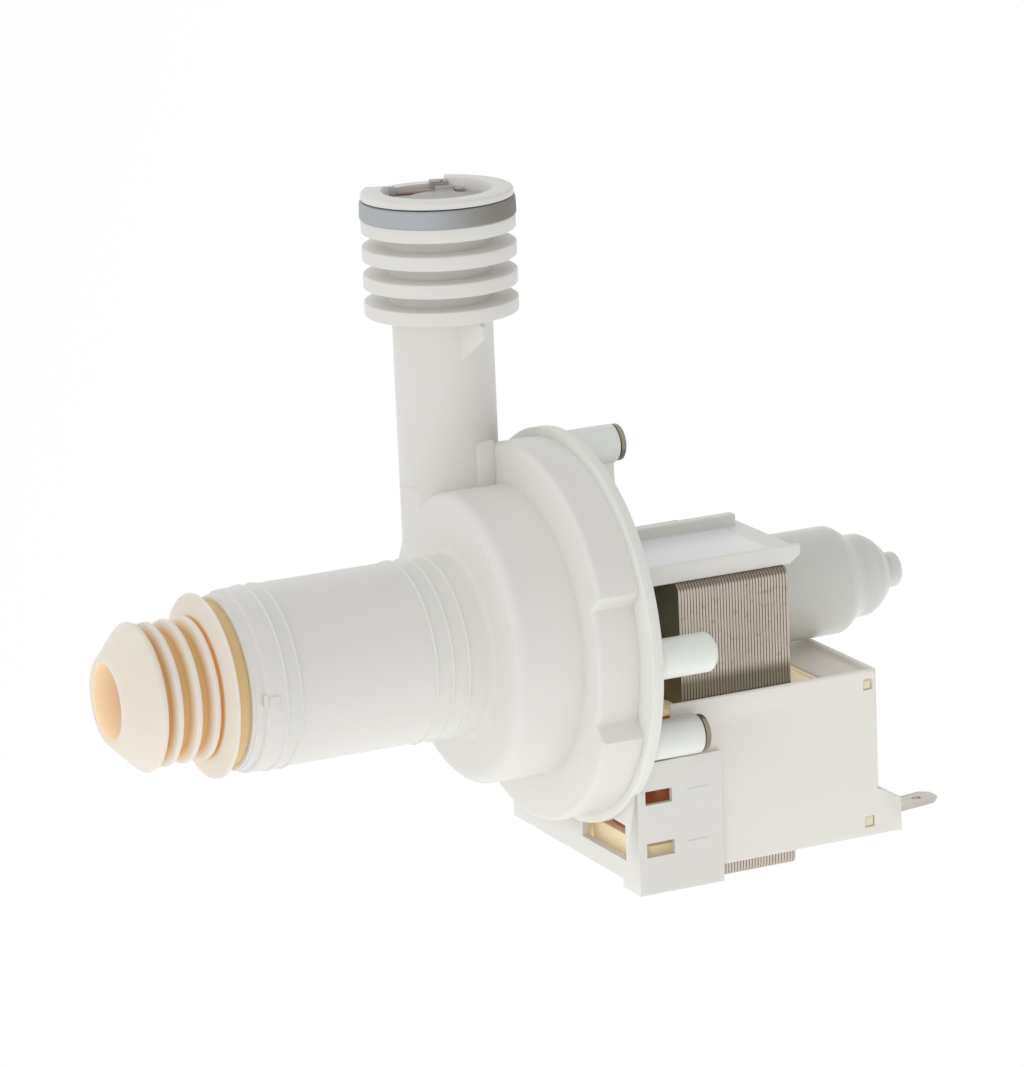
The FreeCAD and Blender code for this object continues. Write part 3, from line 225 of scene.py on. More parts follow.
# nodes and trees, for materials and for what repeats
def newTree(name, inputs, outputs, kind="ShaderNodeTree"):
    tree = bpy.data.node_groups.new(name, kind)
    for title, socketKind, *value in inputs:
        socket = tree.interface.new_socket(title, in_out="INPUT", socket_type="NodeSocket" + socketKind)
        if value:
            socket.default_value = value[0]
    for title, socketKind in outputs:
        tree.interface.new_socket(title, in_out="OUTPUT", socket_type="NodeSocket" + socketKind)
    return tree, tree.nodes.new("NodeGroupInput").outputs, tree.nodes.new("NodeGroupOutput").inputs


def addNode(tree, kind, inputs, **settings):
    # each input gets a value, or the socket that feeds it
    node = tree.nodes.new(kind)
    for key, value in settings.items():
        setattr(node, key, value)
    for key, value in inputs.items():
        if isinstance(value, bpy.types.NodeSocket):
            tree.links.new(value, node.inputs[key])
        else:
            node.inputs[key].default_value = value
    return node


def mathNode(tree, operation, a, b=0.0, clamp=False):
    return addNode(tree, "ShaderNodeMath", {0: a, 1: b}, operation=operation, use_clamp=clamp).outputs[0]


def dotNode(tree, a, b):
    return addNode(tree, "ShaderNodeVectorMath", {0: a, 1: b}, operation="DOT_PRODUCT").outputs["Value"]


def mixColour(tree, factor, a, b):
    return addNode(tree, "ShaderNodeMix", {0: factor, 6: a, 7: b}, data_type="RGBA").outputs[2]


def noiseNode(tree, vector, scale, detail, roughness):
    inputs = {"Vector": vector, "Scale": scale, "Detail": detail, "Roughness": roughness}
    return addNode(tree, "ShaderNodeTexNoise", inputs).outputs["Fac"]


def smoothMask(tree, value, start, end):
    inputs = {"Value": value, "From Min": start, "From Max": end}
    return addNode(tree, "ShaderNodeMapRange", inputs, interpolation_type="SMOOTHSTEP").outputs["Result"]


# shader groups that several materials share
maskOnly = [("Mask", "Float")]


def makeSurfaceGroup():
    # cloudy tone with fine grain, and a roughness that follows the clouds
    group, given, result = newTree("cloudyGrain", [
        ("Vector", "Vector"), ("Colour", "Color", (0.8, 0.8, 0.8, 1)), ("Shade", "Color", (0.7, 0.7, 0.7, 1)),
        ("Cloud Scale", "Float", 40.0), ("Grain Scale", "Float", 900.0), ("Cloud", "Float", 0.3),
        ("Grain", "Float", 0.1), ("Roughness", "Float", 0.45), ("Roughness Swing", "Float", 0.15)],
        [("Colour", "Color"), ("Roughness", "Float"), ("Height", "Float")])
    cloud = noiseNode(group, given["Vector"], given["Cloud Scale"], 4.0, 0.55)
    grain = noiseNode(group, given["Vector"], given["Grain Scale"], 2.0, 0.6)
    cloudPart = mathNode(group, "MULTIPLY", cloud, given["Cloud"])
    grainPart = mathNode(group, "MULTIPLY", grain, given["Grain"])
    amount = mathNode(group, "ADD", cloudPart, grainPart, clamp=True)
    swing = mathNode(group, "MULTIPLY", mathNode(group, "SUBTRACT", cloud, 0.5), given["Roughness Swing"])
    height = mathNode(group, "ADD", grain, mathNode(group, "MULTIPLY", cloud, 0.5))
    group.links.new(mixColour(group, amount, given["Colour"], given["Shade"]), result["Colour"])
    group.links.new(mathNode(group, "ADD", given["Roughness"], swing, clamp=True), result["Roughness"])
    group.links.new(height, result["Height"])
    return group


def makeEdgeGroup():
    # 0 on open faces, towards 1 on rounded edges and in tight corners
    inputs = [("Radius", "Float", 0.0006), ("Strength", "Float", 1.0)]
    group, given, result = newTree("edgeMask", inputs, maskOnly)
    soft = addNode(group, "ShaderNodeBevel", {"Radius": given["Radius"]}, samples=4)
    geometry = group.nodes.new("ShaderNodeNewGeometry")
    same = dotNode(group, soft.outputs["Normal"], geometry.outputs["Normal"])
    away = mathNode(group, "SUBTRACT", 1.0, same)
    group.links.new(mathNode(group, "MULTIPLY", away, given["Strength"], clamp=True), result["Mask"])
    return group


def makeBandGroup():
    # 1 between two places along the pump axis and near it, 0 elsewhere
    group, given, result = newTree("bandMask", [
        ("Vector", "Vector"), ("Low", "Float", 0.0), ("High", "Float", 0.1), ("Soft", "Float", 0.0005),
        ("Full Radius", "Float", 0.01), ("End Radius", "Float", 0.02)], maskOnly)
    along, y, z = addNode(group, "ShaderNodeSeparateXYZ", {0: given["Vector"]}).outputs
    squares = mathNode(group, "ADD", mathNode(group, "MULTIPLY", y, y), mathNode(group, "MULTIPLY", z, z))
    radius = mathNode(group, "SQRT", squares)
    rise, fall = (smoothMask(group, along, mathNode(group, "SUBTRACT", given[end], given["Soft"]),
                             mathNode(group, "ADD", given[end], given["Soft"])) for end in ("Low", "High"))
    away = smoothMask(group, radius, given["Full Radius"], given["End Radius"])
    inside = mathNode(group, "MULTIPLY", rise, mathNode(group, "SUBTRACT", 1.0, fall))
    near = mathNode(group, "SUBTRACT", 1.0, away)
    group.links.new(mathNode(group, "MULTIPLY", inside, near), result["Mask"])
    return group


def makeDirectionGroup(name, ofFaces):
    # 1 on faces that look along a direction, or else on all that lies beyond a plane across it
    inputs = [("Direction", "Vector"), ("Start", "Float", 0.0), ("Full", "Float", 1.0)]
    group, given, result = newTree(name, inputs if ofFaces else [("Vector", "Vector"), *inputs], maskOnly)
    vector = group.nodes.new("ShaderNodeNewGeometry").outputs["Normal"] if ofFaces else given["Vector"]
    reach = dotNode(group, vector, given["Direction"])
    group.links.new(smoothMask(group, reach, given["Start"], given["Full"]), result["Mask"])
    return group


def makeSpeckGroup():
    # small scattered spots
    inputs = [("Vector", "Vector"), ("Scale", "Float", 900.0), ("Start", "Float", 0.62),
              ("Full", "Float", 0.7)]
    group, given, result = newTree("speckMask", inputs, maskOnly)
    spots = noiseNode(group, given["Vector"], given["Scale"], 1.0, 0.4)
    group.links.new(smoothMask(group, spots, given["Start"], given["Full"]), result["Mask"])
    return group


surfaceGroup = makeSurfaceGroup()
edgeGroup = makeEdgeGroup()
tintGroups = {"bands": makeBandGroup(), "facing": makeDirectionGroup("facingMask", True),
              "specks": makeSpeckGroup(), "sides": makeDirectionGroup("sideMask", False)}
surfaceSockets = {"colour": "Colour", "shade": "Shade", "cloudScale": "Cloud Scale", "cloud": "Cloud",
                  "grain": "Grain", "roughness": "Roughness", "swing": "Roughness Swing"}
edgeLightening = {"Radius": 0.5 * mm, "Strength": 1.2}
bumpDepth = 0.05 * mm


def tintMask(tree, kind, tint, place):
    inputs = {title: value for title, value in tint.items() if title not in ("tone", "share")}
    if kind != "facing":
        inputs["Vector"] = place
    return addNode(tree, "ShaderNodeGroup", inputs, node_tree=tintGroups[kind]).outputs["Mask"]


def makeMaterial(name, look):
    material = bpy.data.materials.new(name)
    material.use_nodes = True
    tree = material.node_tree
    tree.nodes.clear()
    shader = tree.nodes.new("ShaderNodeBsdfPrincipled")
    addNode(tree, "ShaderNodeOutputMaterial", {"Surface": shader.outputs[0]})
    place = tree.nodes.new("ShaderNodeTexCoord").outputs["Object"]
    mapping = addNode(tree, "ShaderNodeMapping", {"Vector": place, "Scale": look.get("stretch", (1, 1, 1))})
    inputs = {title: look[key] for key, title in surfaceSockets.items() if key in look}
    inputs["Vector"] = mapping.outputs[0]
    surface = addNode(tree, "ShaderNodeGroup", inputs, node_tree=surfaceGroup)
    colour = surface.outputs["Colour"]
    # a lighter tint on rounded edges and in tight corners
    if "edge" in look:
        edge = addNode(tree, "ShaderNodeGroup", edgeLightening, node_tree=edgeGroup)
        colour = mixColour(tree, edge.outputs["Mask"], colour, look["edge"])
    for kind in tintGroups:
        for tint in look.get(kind, ()):
            amount = mathNode(tree, "MULTIPLY", tintMask(tree, kind, tint, place), tint.get("share", 1.0))
            colour = mixColour(tree, amount, colour, tint["tone"])
    tree.links.new(colour, shader.inputs["Base Color"])
    if "glow" in look:
        # painted light: an emission inside the glow band that lifts shaded insides and thin walls, standing
        # in for light let through
        lit = tintMask(tree, "bands", look["glow"], place)
        shine = mixColour(tree, lit, (0, 0, 0, 1), look["glow"]["tone"])
        tree.links.new(shine, shader.inputs["Emission Color"])
        shader.inputs["Emission Strength"].default_value = look["glowStrength"]
    tree.links.new(surface.outputs["Roughness"], shader.inputs["Roughness"])
    bump = addNode(tree, "ShaderNodeBump", {"Strength": look.get("bump", 0.15), "Distance": bumpDepth,
                                            "Height": surface.outputs["Height"]})
    tree.links.new(bump.outputs[0], shader.inputs["Normal"])
    for title, value in look.get("sockets", {}).items():
        shader.inputs[title].default_value = value
    return material


def tone(r, g, b):
    # display values of 0 to 255 as the linear colour that a socket takes
    shares = [c / 255 for c in (r, g, b)]
    return (*(c / 12.92 if c <= 0.04045 else ((c + 0.055) / 1.055) ** 2.4 for c in shares), 1)


def band(colour, low, high, soft, full, end, share=1.0):
    # a tint between two places along the pump axis, out to a radius, in millimetres
    return {"tone": colour, "share": share, "Low": low * mm, "High": high * mm, "Soft": soft * mm,
            "Full Radius": full * mm, "End Radius": end * mm}


def towards(colour, direction, start, full, share=1.0):
    # a tint along a direction, from start to full: cosines for faces and metres for places
    return {"tone": colour, "share": share, "Direction": direction, "Start": start, "Full": full}


motorAndAround = (50, 200, 1.0, 200, 210)  # a band that takes in a whole motor piece
down = (0.0, 0.0, -1.0)
thinWall = {"Subsurface Weight": 0.12, "Subsurface Scale": 0.0015, "Subsurface Radius": (1.0, 0.9, 0.7)}
looks = {
    "whiteMoulding": {"colour": tone(235, 234, 230), "shade": tone(221, 219, 213), "cloud": 0.45,
                      "grain": 0.15, "roughness": 0.42, "edge": tone(240, 240, 235), "bump": 0.12,
                      "sockets": thinWall},
    "flangeMoulding": {"colour": tone(237, 237, 232), "shade": tone(224, 223, 217), "cloud": 0.45,
                       "grain": 0.15, "roughness": 0.4, "edge": tone(244, 244, 239), "bump": 0.12,
                       "bands": [band(tone(238, 243, 236), 99.2, 120, 0.4, 50, 60, share=0.8)],
                       "sockets": {"Subsurface Weight": 0.3, "Subsurface Scale": 0.003,
                                   "Subsurface Radius": (0.9, 1.0, 0.8)}},
    "milkyCan": {"colour": tone(220, 221, 215), "shade": tone(210, 212, 206), "cloud": 0.4, "roughness": 0.3,
                 "sockets": {"Subsurface Weight": 0.5, "Subsurface Scale": 0.004,
                             "Subsurface Radius": (0.9, 1.0, 1.0), "Coat Weight": 0.15}},
    "warmCover": {"colour": tone(232, 229, 224), "shade": tone(224, 220, 213), "cloud": 0.4,
                  "roughness": 0.45, "edge": tone(240, 238, 230), "sockets": thinWall,
                  # painted light: a faint warm glow over the whole cover that lifts its shaded inside
                  "glow": band(tone(255, 246, 230), *motorAndAround), "glowStrength": 0.06},
    "creamRubber": {"colour": tone(243, 236, 225), "shade": tone(236, 224, 207), "cloud": 0.35, "grain": 0.1,
                    "cloudScale": 70.0, "roughness": 0.55, "bump": 0.2,
                    # painted shade: warm tan at the fin roots, orange in the thin groove before the flange
                    # and tan in the groove behind the flange
                    "bands": [band(tone(232, 194, 134), 7.1, 18.1, 0.2, 11.3, 13.7),
                              band(tone(246, 200, 132), 17.9, 18.7, 0.1, 13.4, 14.1),
                              band(tone(236, 204, 150), 20.0, 22.9, 0.1, 16.1, 17.5),
                              # painted light inside the mouth: a peach tint and a glow, as from light through
                              # the rubber wall
                              band(tone(254, 226, 190), 0.5, 40.0, 0.4, 7.4, 7.9)],
                    "glow": band(tone(248, 222, 196), 0.3, 12.0, 0.3, 7.4, 7.8), "glowStrength": 0.22,
                    "sockets": {"Subsurface Weight": 0.45, "Subsurface Scale": 0.004,
                                "Subsurface Radius": (1.0, 0.75, 0.45), "Specular IOR Level": 0.35}},
    "greyRubber": {"colour": tone(182, 187, 191), "shade": tone(168, 172, 175), "cloud": 0.4,
                   # painted shade: darker on faces that look to the right
                   "roughness": 0.6, "facing": [towards(tone(136, 130, 122), (0.87, -0.49, 0.0), -0.15, 0.9)],
                   "sockets": {"Specular IOR Level": 0.35}},
    "blackRubber": {"colour": tone(38, 38, 40), "shade": tone(58, 58, 60), "cloud": 0.4, "roughness": 0.6},
    "valvePlastic": {"colour": tone(176, 174, 170), "shade": tone(150, 143, 138), "cloud": 0.5,
                     "cloudScale": 120.0, "roughness": 0.4, "edge": tone(196, 195, 192)},
    "laminationSteel": {"colour": tone(210, 200, 189), "shade": tone(170, 158, 145), "cloud": 0.55,
                        "grain": 0.3, "cloudScale": 90.0, "roughness": 0.4, "swing": 0.25, "bump": 0.2,
                        # painted shadow on the lower part of the stack, under the coil cover and boss; the
                        # plain colour comes back further down
                        "sides": [towards(tone(122, 114, 98), down, 0.0055, 0.0085),
                                  towards(tone(210, 200, 189), down, 0.02, 0.022)],
                        "specks": [{"tone": tone(132, 118, 104), "Scale": 700.0, "Start": 0.55, "Full": 0.8,
                                    "share": 0.45}],
                        # painted shade on the front faces and a painted shadow along the rounded top under
                        # the cap
                        "facing": [towards(tone(138, 131, 112), (-1.0, 0.0, 0.0), 0.7, 0.9),
                                   towards(tone(104, 92, 80), (0.0, -0.66, 0.75), 0.8, 0.97, share=0.7)],
                        "sockets": {"Metallic": 0.75}},
    "zincScrew": {"colour": tone(170, 162, 150), "shade": tone(112, 96, 76), "cloud": 0.8,
                  "cloudScale": 260.0, "roughness": 0.24, "sockets": {"Metallic": 1.0}},
    "tinnedTerminal": {"colour": tone(205, 201, 194), "shade": tone(172, 166, 158), "cloud": 0.5,
                       "cloudScale": 200.0, "roughness": 0.32, "stretch": (1, 4, 4),
                       "sockets": {"Metallic": 1.0}},
    "copperWire": {"colour": tone(186, 112, 66), "shade": tone(132, 74, 44), "cloud": 0.6,
                   "cloudScale": 220.0, "roughness": 0.3, "sockets": {"Metallic": 0.4, "Coat Weight": 0.4},
                   # painted light: a copper glow that lifts the windings in the shaded windows
                   "glow": band(tone(206, 118, 70), *motorAndAround), "glowStrength": 0.12},
    "hingePin": {"colour": tone(178, 150, 138), "shade": tone(150, 122, 110), "cloud": 0.5, "roughness": 0.4},
    "carrierPlastic": {"colour": tone(240, 232, 206), "shade": tone(228, 216, 184), "cloud": 0.5,
                       "roughness": 0.45},
    "bobbinPlastic": {"colour": tone(252, 238, 206), "shade": tone(246, 226, 178), "cloud": 0.5,
                      # painted light: a cream glow that lifts the bobbin in the shaded openings
                      "roughness": 0.45, "glow": band(tone(250, 234, 196), *motorAndAround),
                      "glowStrength": 0.16},
    "ferrite": {"colour": tone(70, 70, 74), "shade": tone(48, 48, 52), "cloud": 0.5, "grain": 0.4,
                "roughness": 0.5, "bump": 0.3},
    "polishedShaft": {"colour": tone(208, 208, 208), "shade": tone(182, 182, 184), "cloud": 0.4,
                      "roughness": 0.18, "stretch": (0.1, 6, 6), "sockets": {"Metallic": 1.0}},
    "bearingPlastic": {"colour": tone(50, 50, 52), "shade": tone(72, 72, 74), "cloud": 0.4, "roughness": 0.4},
    "rotorPlastic": {"colour": tone(110, 114, 118), "shade": tone(92, 95, 99), "cloud": 0.5,
                     "roughness": 0.45},
    "labelStock": {"colour": tone(238, 240, 240), "shade": tone(228, 230, 231), "cloud": 0.4,
                   "roughness": 0.35, "sockets": {"Coat Weight": 0.2}},
}
materials = {name: makeMaterial(name, look) for name, look in looks.items()}
print("materials made:", len(materials))


# housing moulding: inlet tube, drum, skirt and outlet pipe in one
tube = {"radius": 17.7, "front": 23.6, "rim": 22.95, "rimRadius": 16.8, "collar": 17.0, "collarEnd": 25.3,
        "collarStep": 0.25, "bore": 15.5, "ridges": (29.7, 32.6, 60.8, 64.2, 67.6), "ridgeHeight": 0.34,
        "ridgeHalf": 0.3, "flare": 1.6, "eye": 13.0, "sunk": 1.0, "coneStart": 6.0}


def makeTube():
    radius, flare = tube["radius"], tube["flare"]
    outer = [(tube["rim"], tube["bore"]), (tube["rim"], tube["rimRadius"], 0.25),
             (tube["front"], tube["rimRadius"]), (tube["front"], tube["collar"], 0.08),
             (tube["collarEnd"], tube["collar"]), (tube["collarEnd"] + tube["collarStep"], radius, 0.2)]
    for x in tube["ridges"]:
        outer += [(x - tube["ridgeHalf"] * math.cos(a), radius + tube["ridgeHeight"] * math.sin(a))
                  for a in [math.pi * k / 8 for k in range(9)]]
    outer += [(drumFace - flare + flare * math.sin(a), radius + flare * (1 - math.cos(a)))
              for a in [math.pi / 2 * k / 6 for k in range(7)]]
    outer += [(drumFace + tube["sunk"], radius + flare), (drumFace + tube["sunk"], tube["eye"]),
              (drumFace - tube["sunk"], tube["eye"]), (drumFace - tube["coneStart"], tube["bore"])]
    return lathe("tube", soften(outer), segments=160)


skirt = {"radius": 37.4, "front": drumFace + 14.1, "rear": drumFace + 22.8, "notch": 33.6, "notchHalf": 19.5,
         "slope": 3.2, "edge": 1.2, "segments": 480}


def skirtRadius(degrees):
    # the skirt is notched at both sides, with a smooth slope into each notch
    away = min(abs((degrees + 180) % 360 - 180), abs(degrees % 360 - 180))
    t = min(max((away - skirt["notchHalf"]) / skirt["slope"], 0.0), 1.0)
    return skirt["radius"] - (skirt["radius"] - skirt["notch"]) * (1 - t * t * (3 - 2 * t))


def makeSkirt():
    bm = bmesh.new()
    edge, count = skirt["edge"], skirt["segments"]
    stations = [(skirt["front"], edge)]
    stations += [(skirt["front"] + edge * (1 - math.cos(a)), edge * (1 - math.sin(a)))
                 for a in [math.pi / 2 * k / 5 for k in range(1, 6)]]
    stations.append((skirt["rear"], 0.0))
    rings = []
    for x, inset in stations:
        ring = []
        for k in range(count):
            angle = 2 * math.pi * k / count
            r = skirtRadius(math.degrees(angle)) - inset
            ring.append(bm.verts.new((x * mm, r * math.cos(angle) * mm, r * math.sin(angle) * mm)))
        rings.append(ring)
    for a, b in zip(rings, rings[1:]):
        for k in range(count):
            bm.faces.new((a[k], a[(k + 1) % count], b[(k + 1) % count], b[k]))
    bm.faces.new(rings[0])
    bm.faces.new(rings[-1][::-1])
    return pieceFromBmesh("skirt", bm)


def aboutPipe(degrees, unit=1.0):
    # a turn about the outlet pipe's axis, with lengths in millimetres or in the unit given
    spot = Matrix.Translation((outlet["x"] * unit, outlet["y"] * unit, 0))
    return spot @ Matrix.Rotation(math.radians(degrees), 4, "Z")


drum = {"radius": 28.6, "corner": 2.6, "length": 15, "centre": (0.9, 0.4)}
hollows = {"eye": (-5.9, 3.4, 13.0, (0, 0), 128), "chamber": (2.4, 17, 25.6, (0.45, 0.2), 128),
           "spigotBore": (16.2, 24, 29.0, (0, 0), 160)}  # from, to, radius, centre, segments
rootBlock = {"low": (drumFace + 10, 8.4, 24), "high": (drumFace + 14.5, outlet["y"] - 2.3, 36.8), "edge": 0.8}
pipe = {"radius": 9.86, "bore": 7.4, "flatZ": 28.3, "finsFrom": 61.2, "finRadius": 15.08, "core": 10.1,
        "finEdge": 0.28, "finFoot": 0.15, "fins": [(61.5 + 5.43 * i, 64.25 + 5.43 * i) for i in range(4)],
        "sealCore": 12.8, "ringZ": 84.3, "top": 85.8, "topRadius": 14.9, "topEdge": 0.7, "opening": 10.4,
        "chamfer": (0.5, 0.9), "seat": 78.6}
hinge = aboutPipe(-17)
hingePlace = {"pocketZ": (82.3, 87), "pocketRadius": 12.1, "pocket": ((-11.4, 5.8, 80), (3.5, 13, 88)),
              "cut": ((-12.6, 5.8, 84.5), (3.5, 18, 87))}
gusset = {"outline": [(6.0, 53.2), (8.6, 53.6), (14.0, 58.4), (14.0, 60.6), (12.6, 61.7), (6.0, 61.7)],
          "faces": (-5.2, -3.7), "edge": 0.15, "degrees": -64}
lug = {"foot": 17.2, "top": 17.95, "edge": 0.1, "spots": ((24.9, 25.55, 1.25, 179), (26.0, 28.0, 1.7, 182))}


def makePipe():
    # the pipe, its fins and the top ring with the seal's groove below it
    top, opening = pipe["top"], pipe["opening"]
    column = [(0.0, 0), (0.0, pipe["radius"]), (pipe["finsFrom"], pipe["radius"]),
              (pipe["finsFrom"], pipe["core"])]
    for low, high in pipe["fins"]:
        column += [(low, pipe["core"], pipe["finFoot"]), (low, pipe["finRadius"], pipe["finEdge"]),
                   (high, pipe["finRadius"], pipe["finEdge"]), (high, pipe["core"], pipe["finFoot"])]
    column[-1] = (pipe["fins"][-1][1], pipe["sealCore"])
    column += [(pipe["ringZ"], pipe["sealCore"]), (pipe["ringZ"], pipe["topRadius"], 0.2),
               (top, pipe["topRadius"], pipe["topEdge"]), (top, opening + pipe["chamfer"][0]),
               (top - pipe["chamfer"][1], opening), (pipe["seat"], opening), (pipe["seat"], 0)]
    head = lathe("head", soften(column, 4), "Z", (outlet["x"], outlet["y"]), 160)
    # nothing of it stays in front of the drum below the flat
    return combine(head, [slab("rootCut", (50, 0, -10), (drumFace, 40, pipe["flatZ"]))], "DIFFERENCE")


def makeHousing():
    end = drumFace + drum["length"]
    profile = soften([(drumFace, 0), (drumFace, drum["radius"], drum["corner"]), (end, drum["radius"]),
                      (end, 0)], 8)
    body = lathe("housingMoulding", profile, "X", drum["centre"], 192)
    block = roundEdges(slab("block", rootBlock["low"], rootBlock["high"]), rootBlock["edge"])
    combine(body, [makeSkirt(), block])
    plate = roundEdges(prism("gusset", gusset["outline"], *gusset["faces"], "Y"), gusset["edge"], 2)
    plate.data.transform(aboutPipe(gusset["degrees"], mm))
    combine(body, [makePipe(), plate])
    combine(body, [makeTube()])
    pocket = post("hingePocket", *hingePlace["pocketZ"], hingePlace["pocketRadius"])
    cuts = [combine(pocket, [slab("side", *hingePlace["pocket"], hinge)], "INTERSECT")]
    cuts += [rod(name, drumFace + start, drumFace + stop, radius, centre, segments)
             for name, (start, stop, radius, centre, segments) in hollows.items()]
    cuts += [post("pipeBore", 2, pipe["seat"] + 1, pipe["bore"], 96),
             slab("hingeCut", *hingePlace["cut"], hinge)]
    combine(body, cuts, "DIFFERENCE")
    lugs = []
    for low, high, half, degrees in lug["spots"]:
        block = slab("lug", (low, lug["foot"], -half), (high, lug["top"], half),
                     Matrix.Rotation(math.radians(degrees), 4, "X"))
        lugs.append(roundEdges(block, lug["edge"], 2))
    return combine(body, lugs)


finishPiece(makeHousing(), materials["whiteMoulding"], "housing",
            ("volute_housing", "inlet_tube", "outlet_pipe"), sharp=32)

# inlet seal: nose, three fins, flange and the plug inside the tube
nose = {"mouth": 7.3, "mouthLength": 6.4, "rim": 8.5, "shoulderX": 6.6, "shoulder": 14.5, "root": 11.5,
        "wall": 1.4, "fins": (10.2, 14.0, 17.7), "finRadius": 13.9, "finThickness": 1.75, "neck": 12.7,
        "flangeX": (18.95, 20.05), "flange": 17.9, "flangeBack": 16.0, "plugX": (22.93, 34.9), "plug": 15.48,
        "plugBore": 14.0, "backX": (21.5, 19.0, 7.0)}


def makeNose():
    shoulderX, root, finRadius = nose["shoulderX"], nose["root"], nose["finRadius"]
    p = [(0.0, nose["mouth"], 0.6), (0.0, nose["rim"], 0.8), (shoulderX - 0.6, nose["shoulder"], 0.9),
         (shoulderX + 0.4, nose["shoulder"] - 0.3, 0.4), (shoulderX + 0.9, root, 0.4)]
    for x in nose["fins"]:
        p += [(x - nose["finThickness"], root, 0.3), (x - 1.0, finRadius - 0.1, 0.45), (x, finRadius, 0.3),
              (x + 0.3, root, 0.25)]
    p[-1] = (nose["fins"][-1] + 0.25, nose["neck"], 0.1)
    low, high = nose["flangeX"]
    start, end = nose["plugX"]
    inside = root - nose["wall"]
    p += [(low - 0.5, nose["neck"], 0.1), (low - 0.4, finRadius, 0.3), (low + 0.3, 16.2, 1.0),
          (high - 0.6, nose["flange"], 0.4), (high, nose["flange"], 0.3), (high, nose["flangeBack"], 0.1),
          (start, nose["flangeBack"], 0.1), (start, nose["plug"]), (end, nose["plug"], 0.4),
          (end, nose["plugBore"], 0.4), (nose["backX"][0], nose["plugBore"], 1.0),
          (nose["backX"][1], inside, 1.0), (nose["backX"][2], inside, 0.6),
          (nose["mouthLength"], nose["mouth"], 0.4)]
    return lathe("inletSeal", soften(p, 4), segments=160)


finishPiece(makeNose(), materials["creamRubber"], "housing",
            ("inlet_bellows_seal",), sharp=50)

# outlet seal ring
ring = {"inner": 12.8, "outer": 15.3, "low": 80.55, "high": 84.0}
ringProfile = soften([(ring["low"], ring["inner"]), (ring["low"], ring["outer"], 0.35),
                      (ring["high"], ring["outer"] - 0.1, 0.45), (ring["high"], ring["inner"])])
outletRing = lathe("outletSealRing", ringProfile, "Z", (outlet["x"], outlet["y"]), 160)
finishPiece(outletRing, materials["greyRubber"], "housing", ("outlet_seal_ring",))

# rotor can, one outline along the outside to the rear nipple and back inside
can = {"outside": [(89.2, 9.7), (89.2, 16.4, 0.2), (91.1, 16.4, 0.2), (91.1, 10.93, 0.3), (156.0, 10.93, 2.8),
                   (158.7, 8.9, 1.3), (160.1, 8.35, 0.9), (162.7, 8.35, 1.7), (164.7, 7.3, 1.4),
                   (166.6, 5.6, 0.8), (167.6, 3.57, 0.5), (170.9, 3.57, 0.9), (170.9, 0)],
       "inside": [(169.3, 0), (169.3, 2.2), (165.1, 2.2), (165.1, 4.4), (163.9, 5.6), (163.9, 6.9),
                  (157.9, 6.9), (155.5, 9.7)]}
rotorCan = lathe("rotorCan", soften(can["outside"] + can["inside"], 5), segments=160)
finishPiece(rotorCan, materials["milkyCan"], "housing", ("rotor_can",))

# laminated core, one sheet repeated along the stack
core = {"start": 108.35, "sheet": 0.65, "gap": 0.14, "count": 37, "wander": 0.012, "half": 25.9,
        "armZ": (-12.6, 12.0), "armCorners": (0, 0, 8.5, 2.0), "legY": (8.9, 19.5), "legZ": (-40.6, -12.0),
        "bore": 11.35, "yokeZ": (-48.27, -40.6), "yokeCorners": (1.5, 1.5, 0, 0)}
thick = core["sheet"] - core["gap"]


def roundedOutline(half, z0, z1, radii, steps=5):
    # radii of the corners low-low, high-low, high-high and low-high
    spots = [(-half, z0, 180), (half, z0, 270), (half, z1, 0), (-half, z1, 90)]
    outline = []
    for (y, z, start), radius in zip(spots, radii):
        if not radius:
            outline.append((y, z))
            continue
        cy = y + radius if y < 0 else y - radius
        cz = z + radius if z == z0 else z - radius
        for k in range(steps + 1):
            a = math.radians(start + 90 * k / steps)
            outline.append((cy + radius * math.cos(a), cz + radius * math.sin(a)))
    return outline


def makePoleSheet():
    arm = prism("poleSheet", roundedOutline(core["half"], *core["armZ"], core["armCorners"]), 0, thick)
    (inner, outer), (low, high) = core["legY"], core["legZ"]
    legs = [slab("leg", (0, y0, low), (thick, y1, high)) for y0, y1 in ((-outer, -inner), (inner, outer))]
    combine(arm, legs)
    return combine(arm, [rod("bore", -1, thick + 1, core["bore"], segments=64)], "DIFFERENCE")


def makeYokeSheet():
    return prism("yokeSheet", roundedOutline(core["half"], *core["yokeZ"], core["yokeCorners"]), 0, thick)


def newGrowth(name, inputs):
    inputs = [("Geometry", "Geometry"), *inputs, ("Finish", "Material")]
    return newTree(name, inputs, [("Geometry", "Geometry")], "GeometryNodeTree")


def endGrowth(tree, shape, given, result):
    # plain geometry with its own material
    real = addNode(tree, "GeometryNodeRealizeInstances", {0: shape})
    finish = addNode(tree, "GeometryNodeSetMaterial", {
        "Geometry": real.outputs[0], "Material": given["Finish"]})
    tree.links.new(finish.outputs[0], result[0])
    return tree


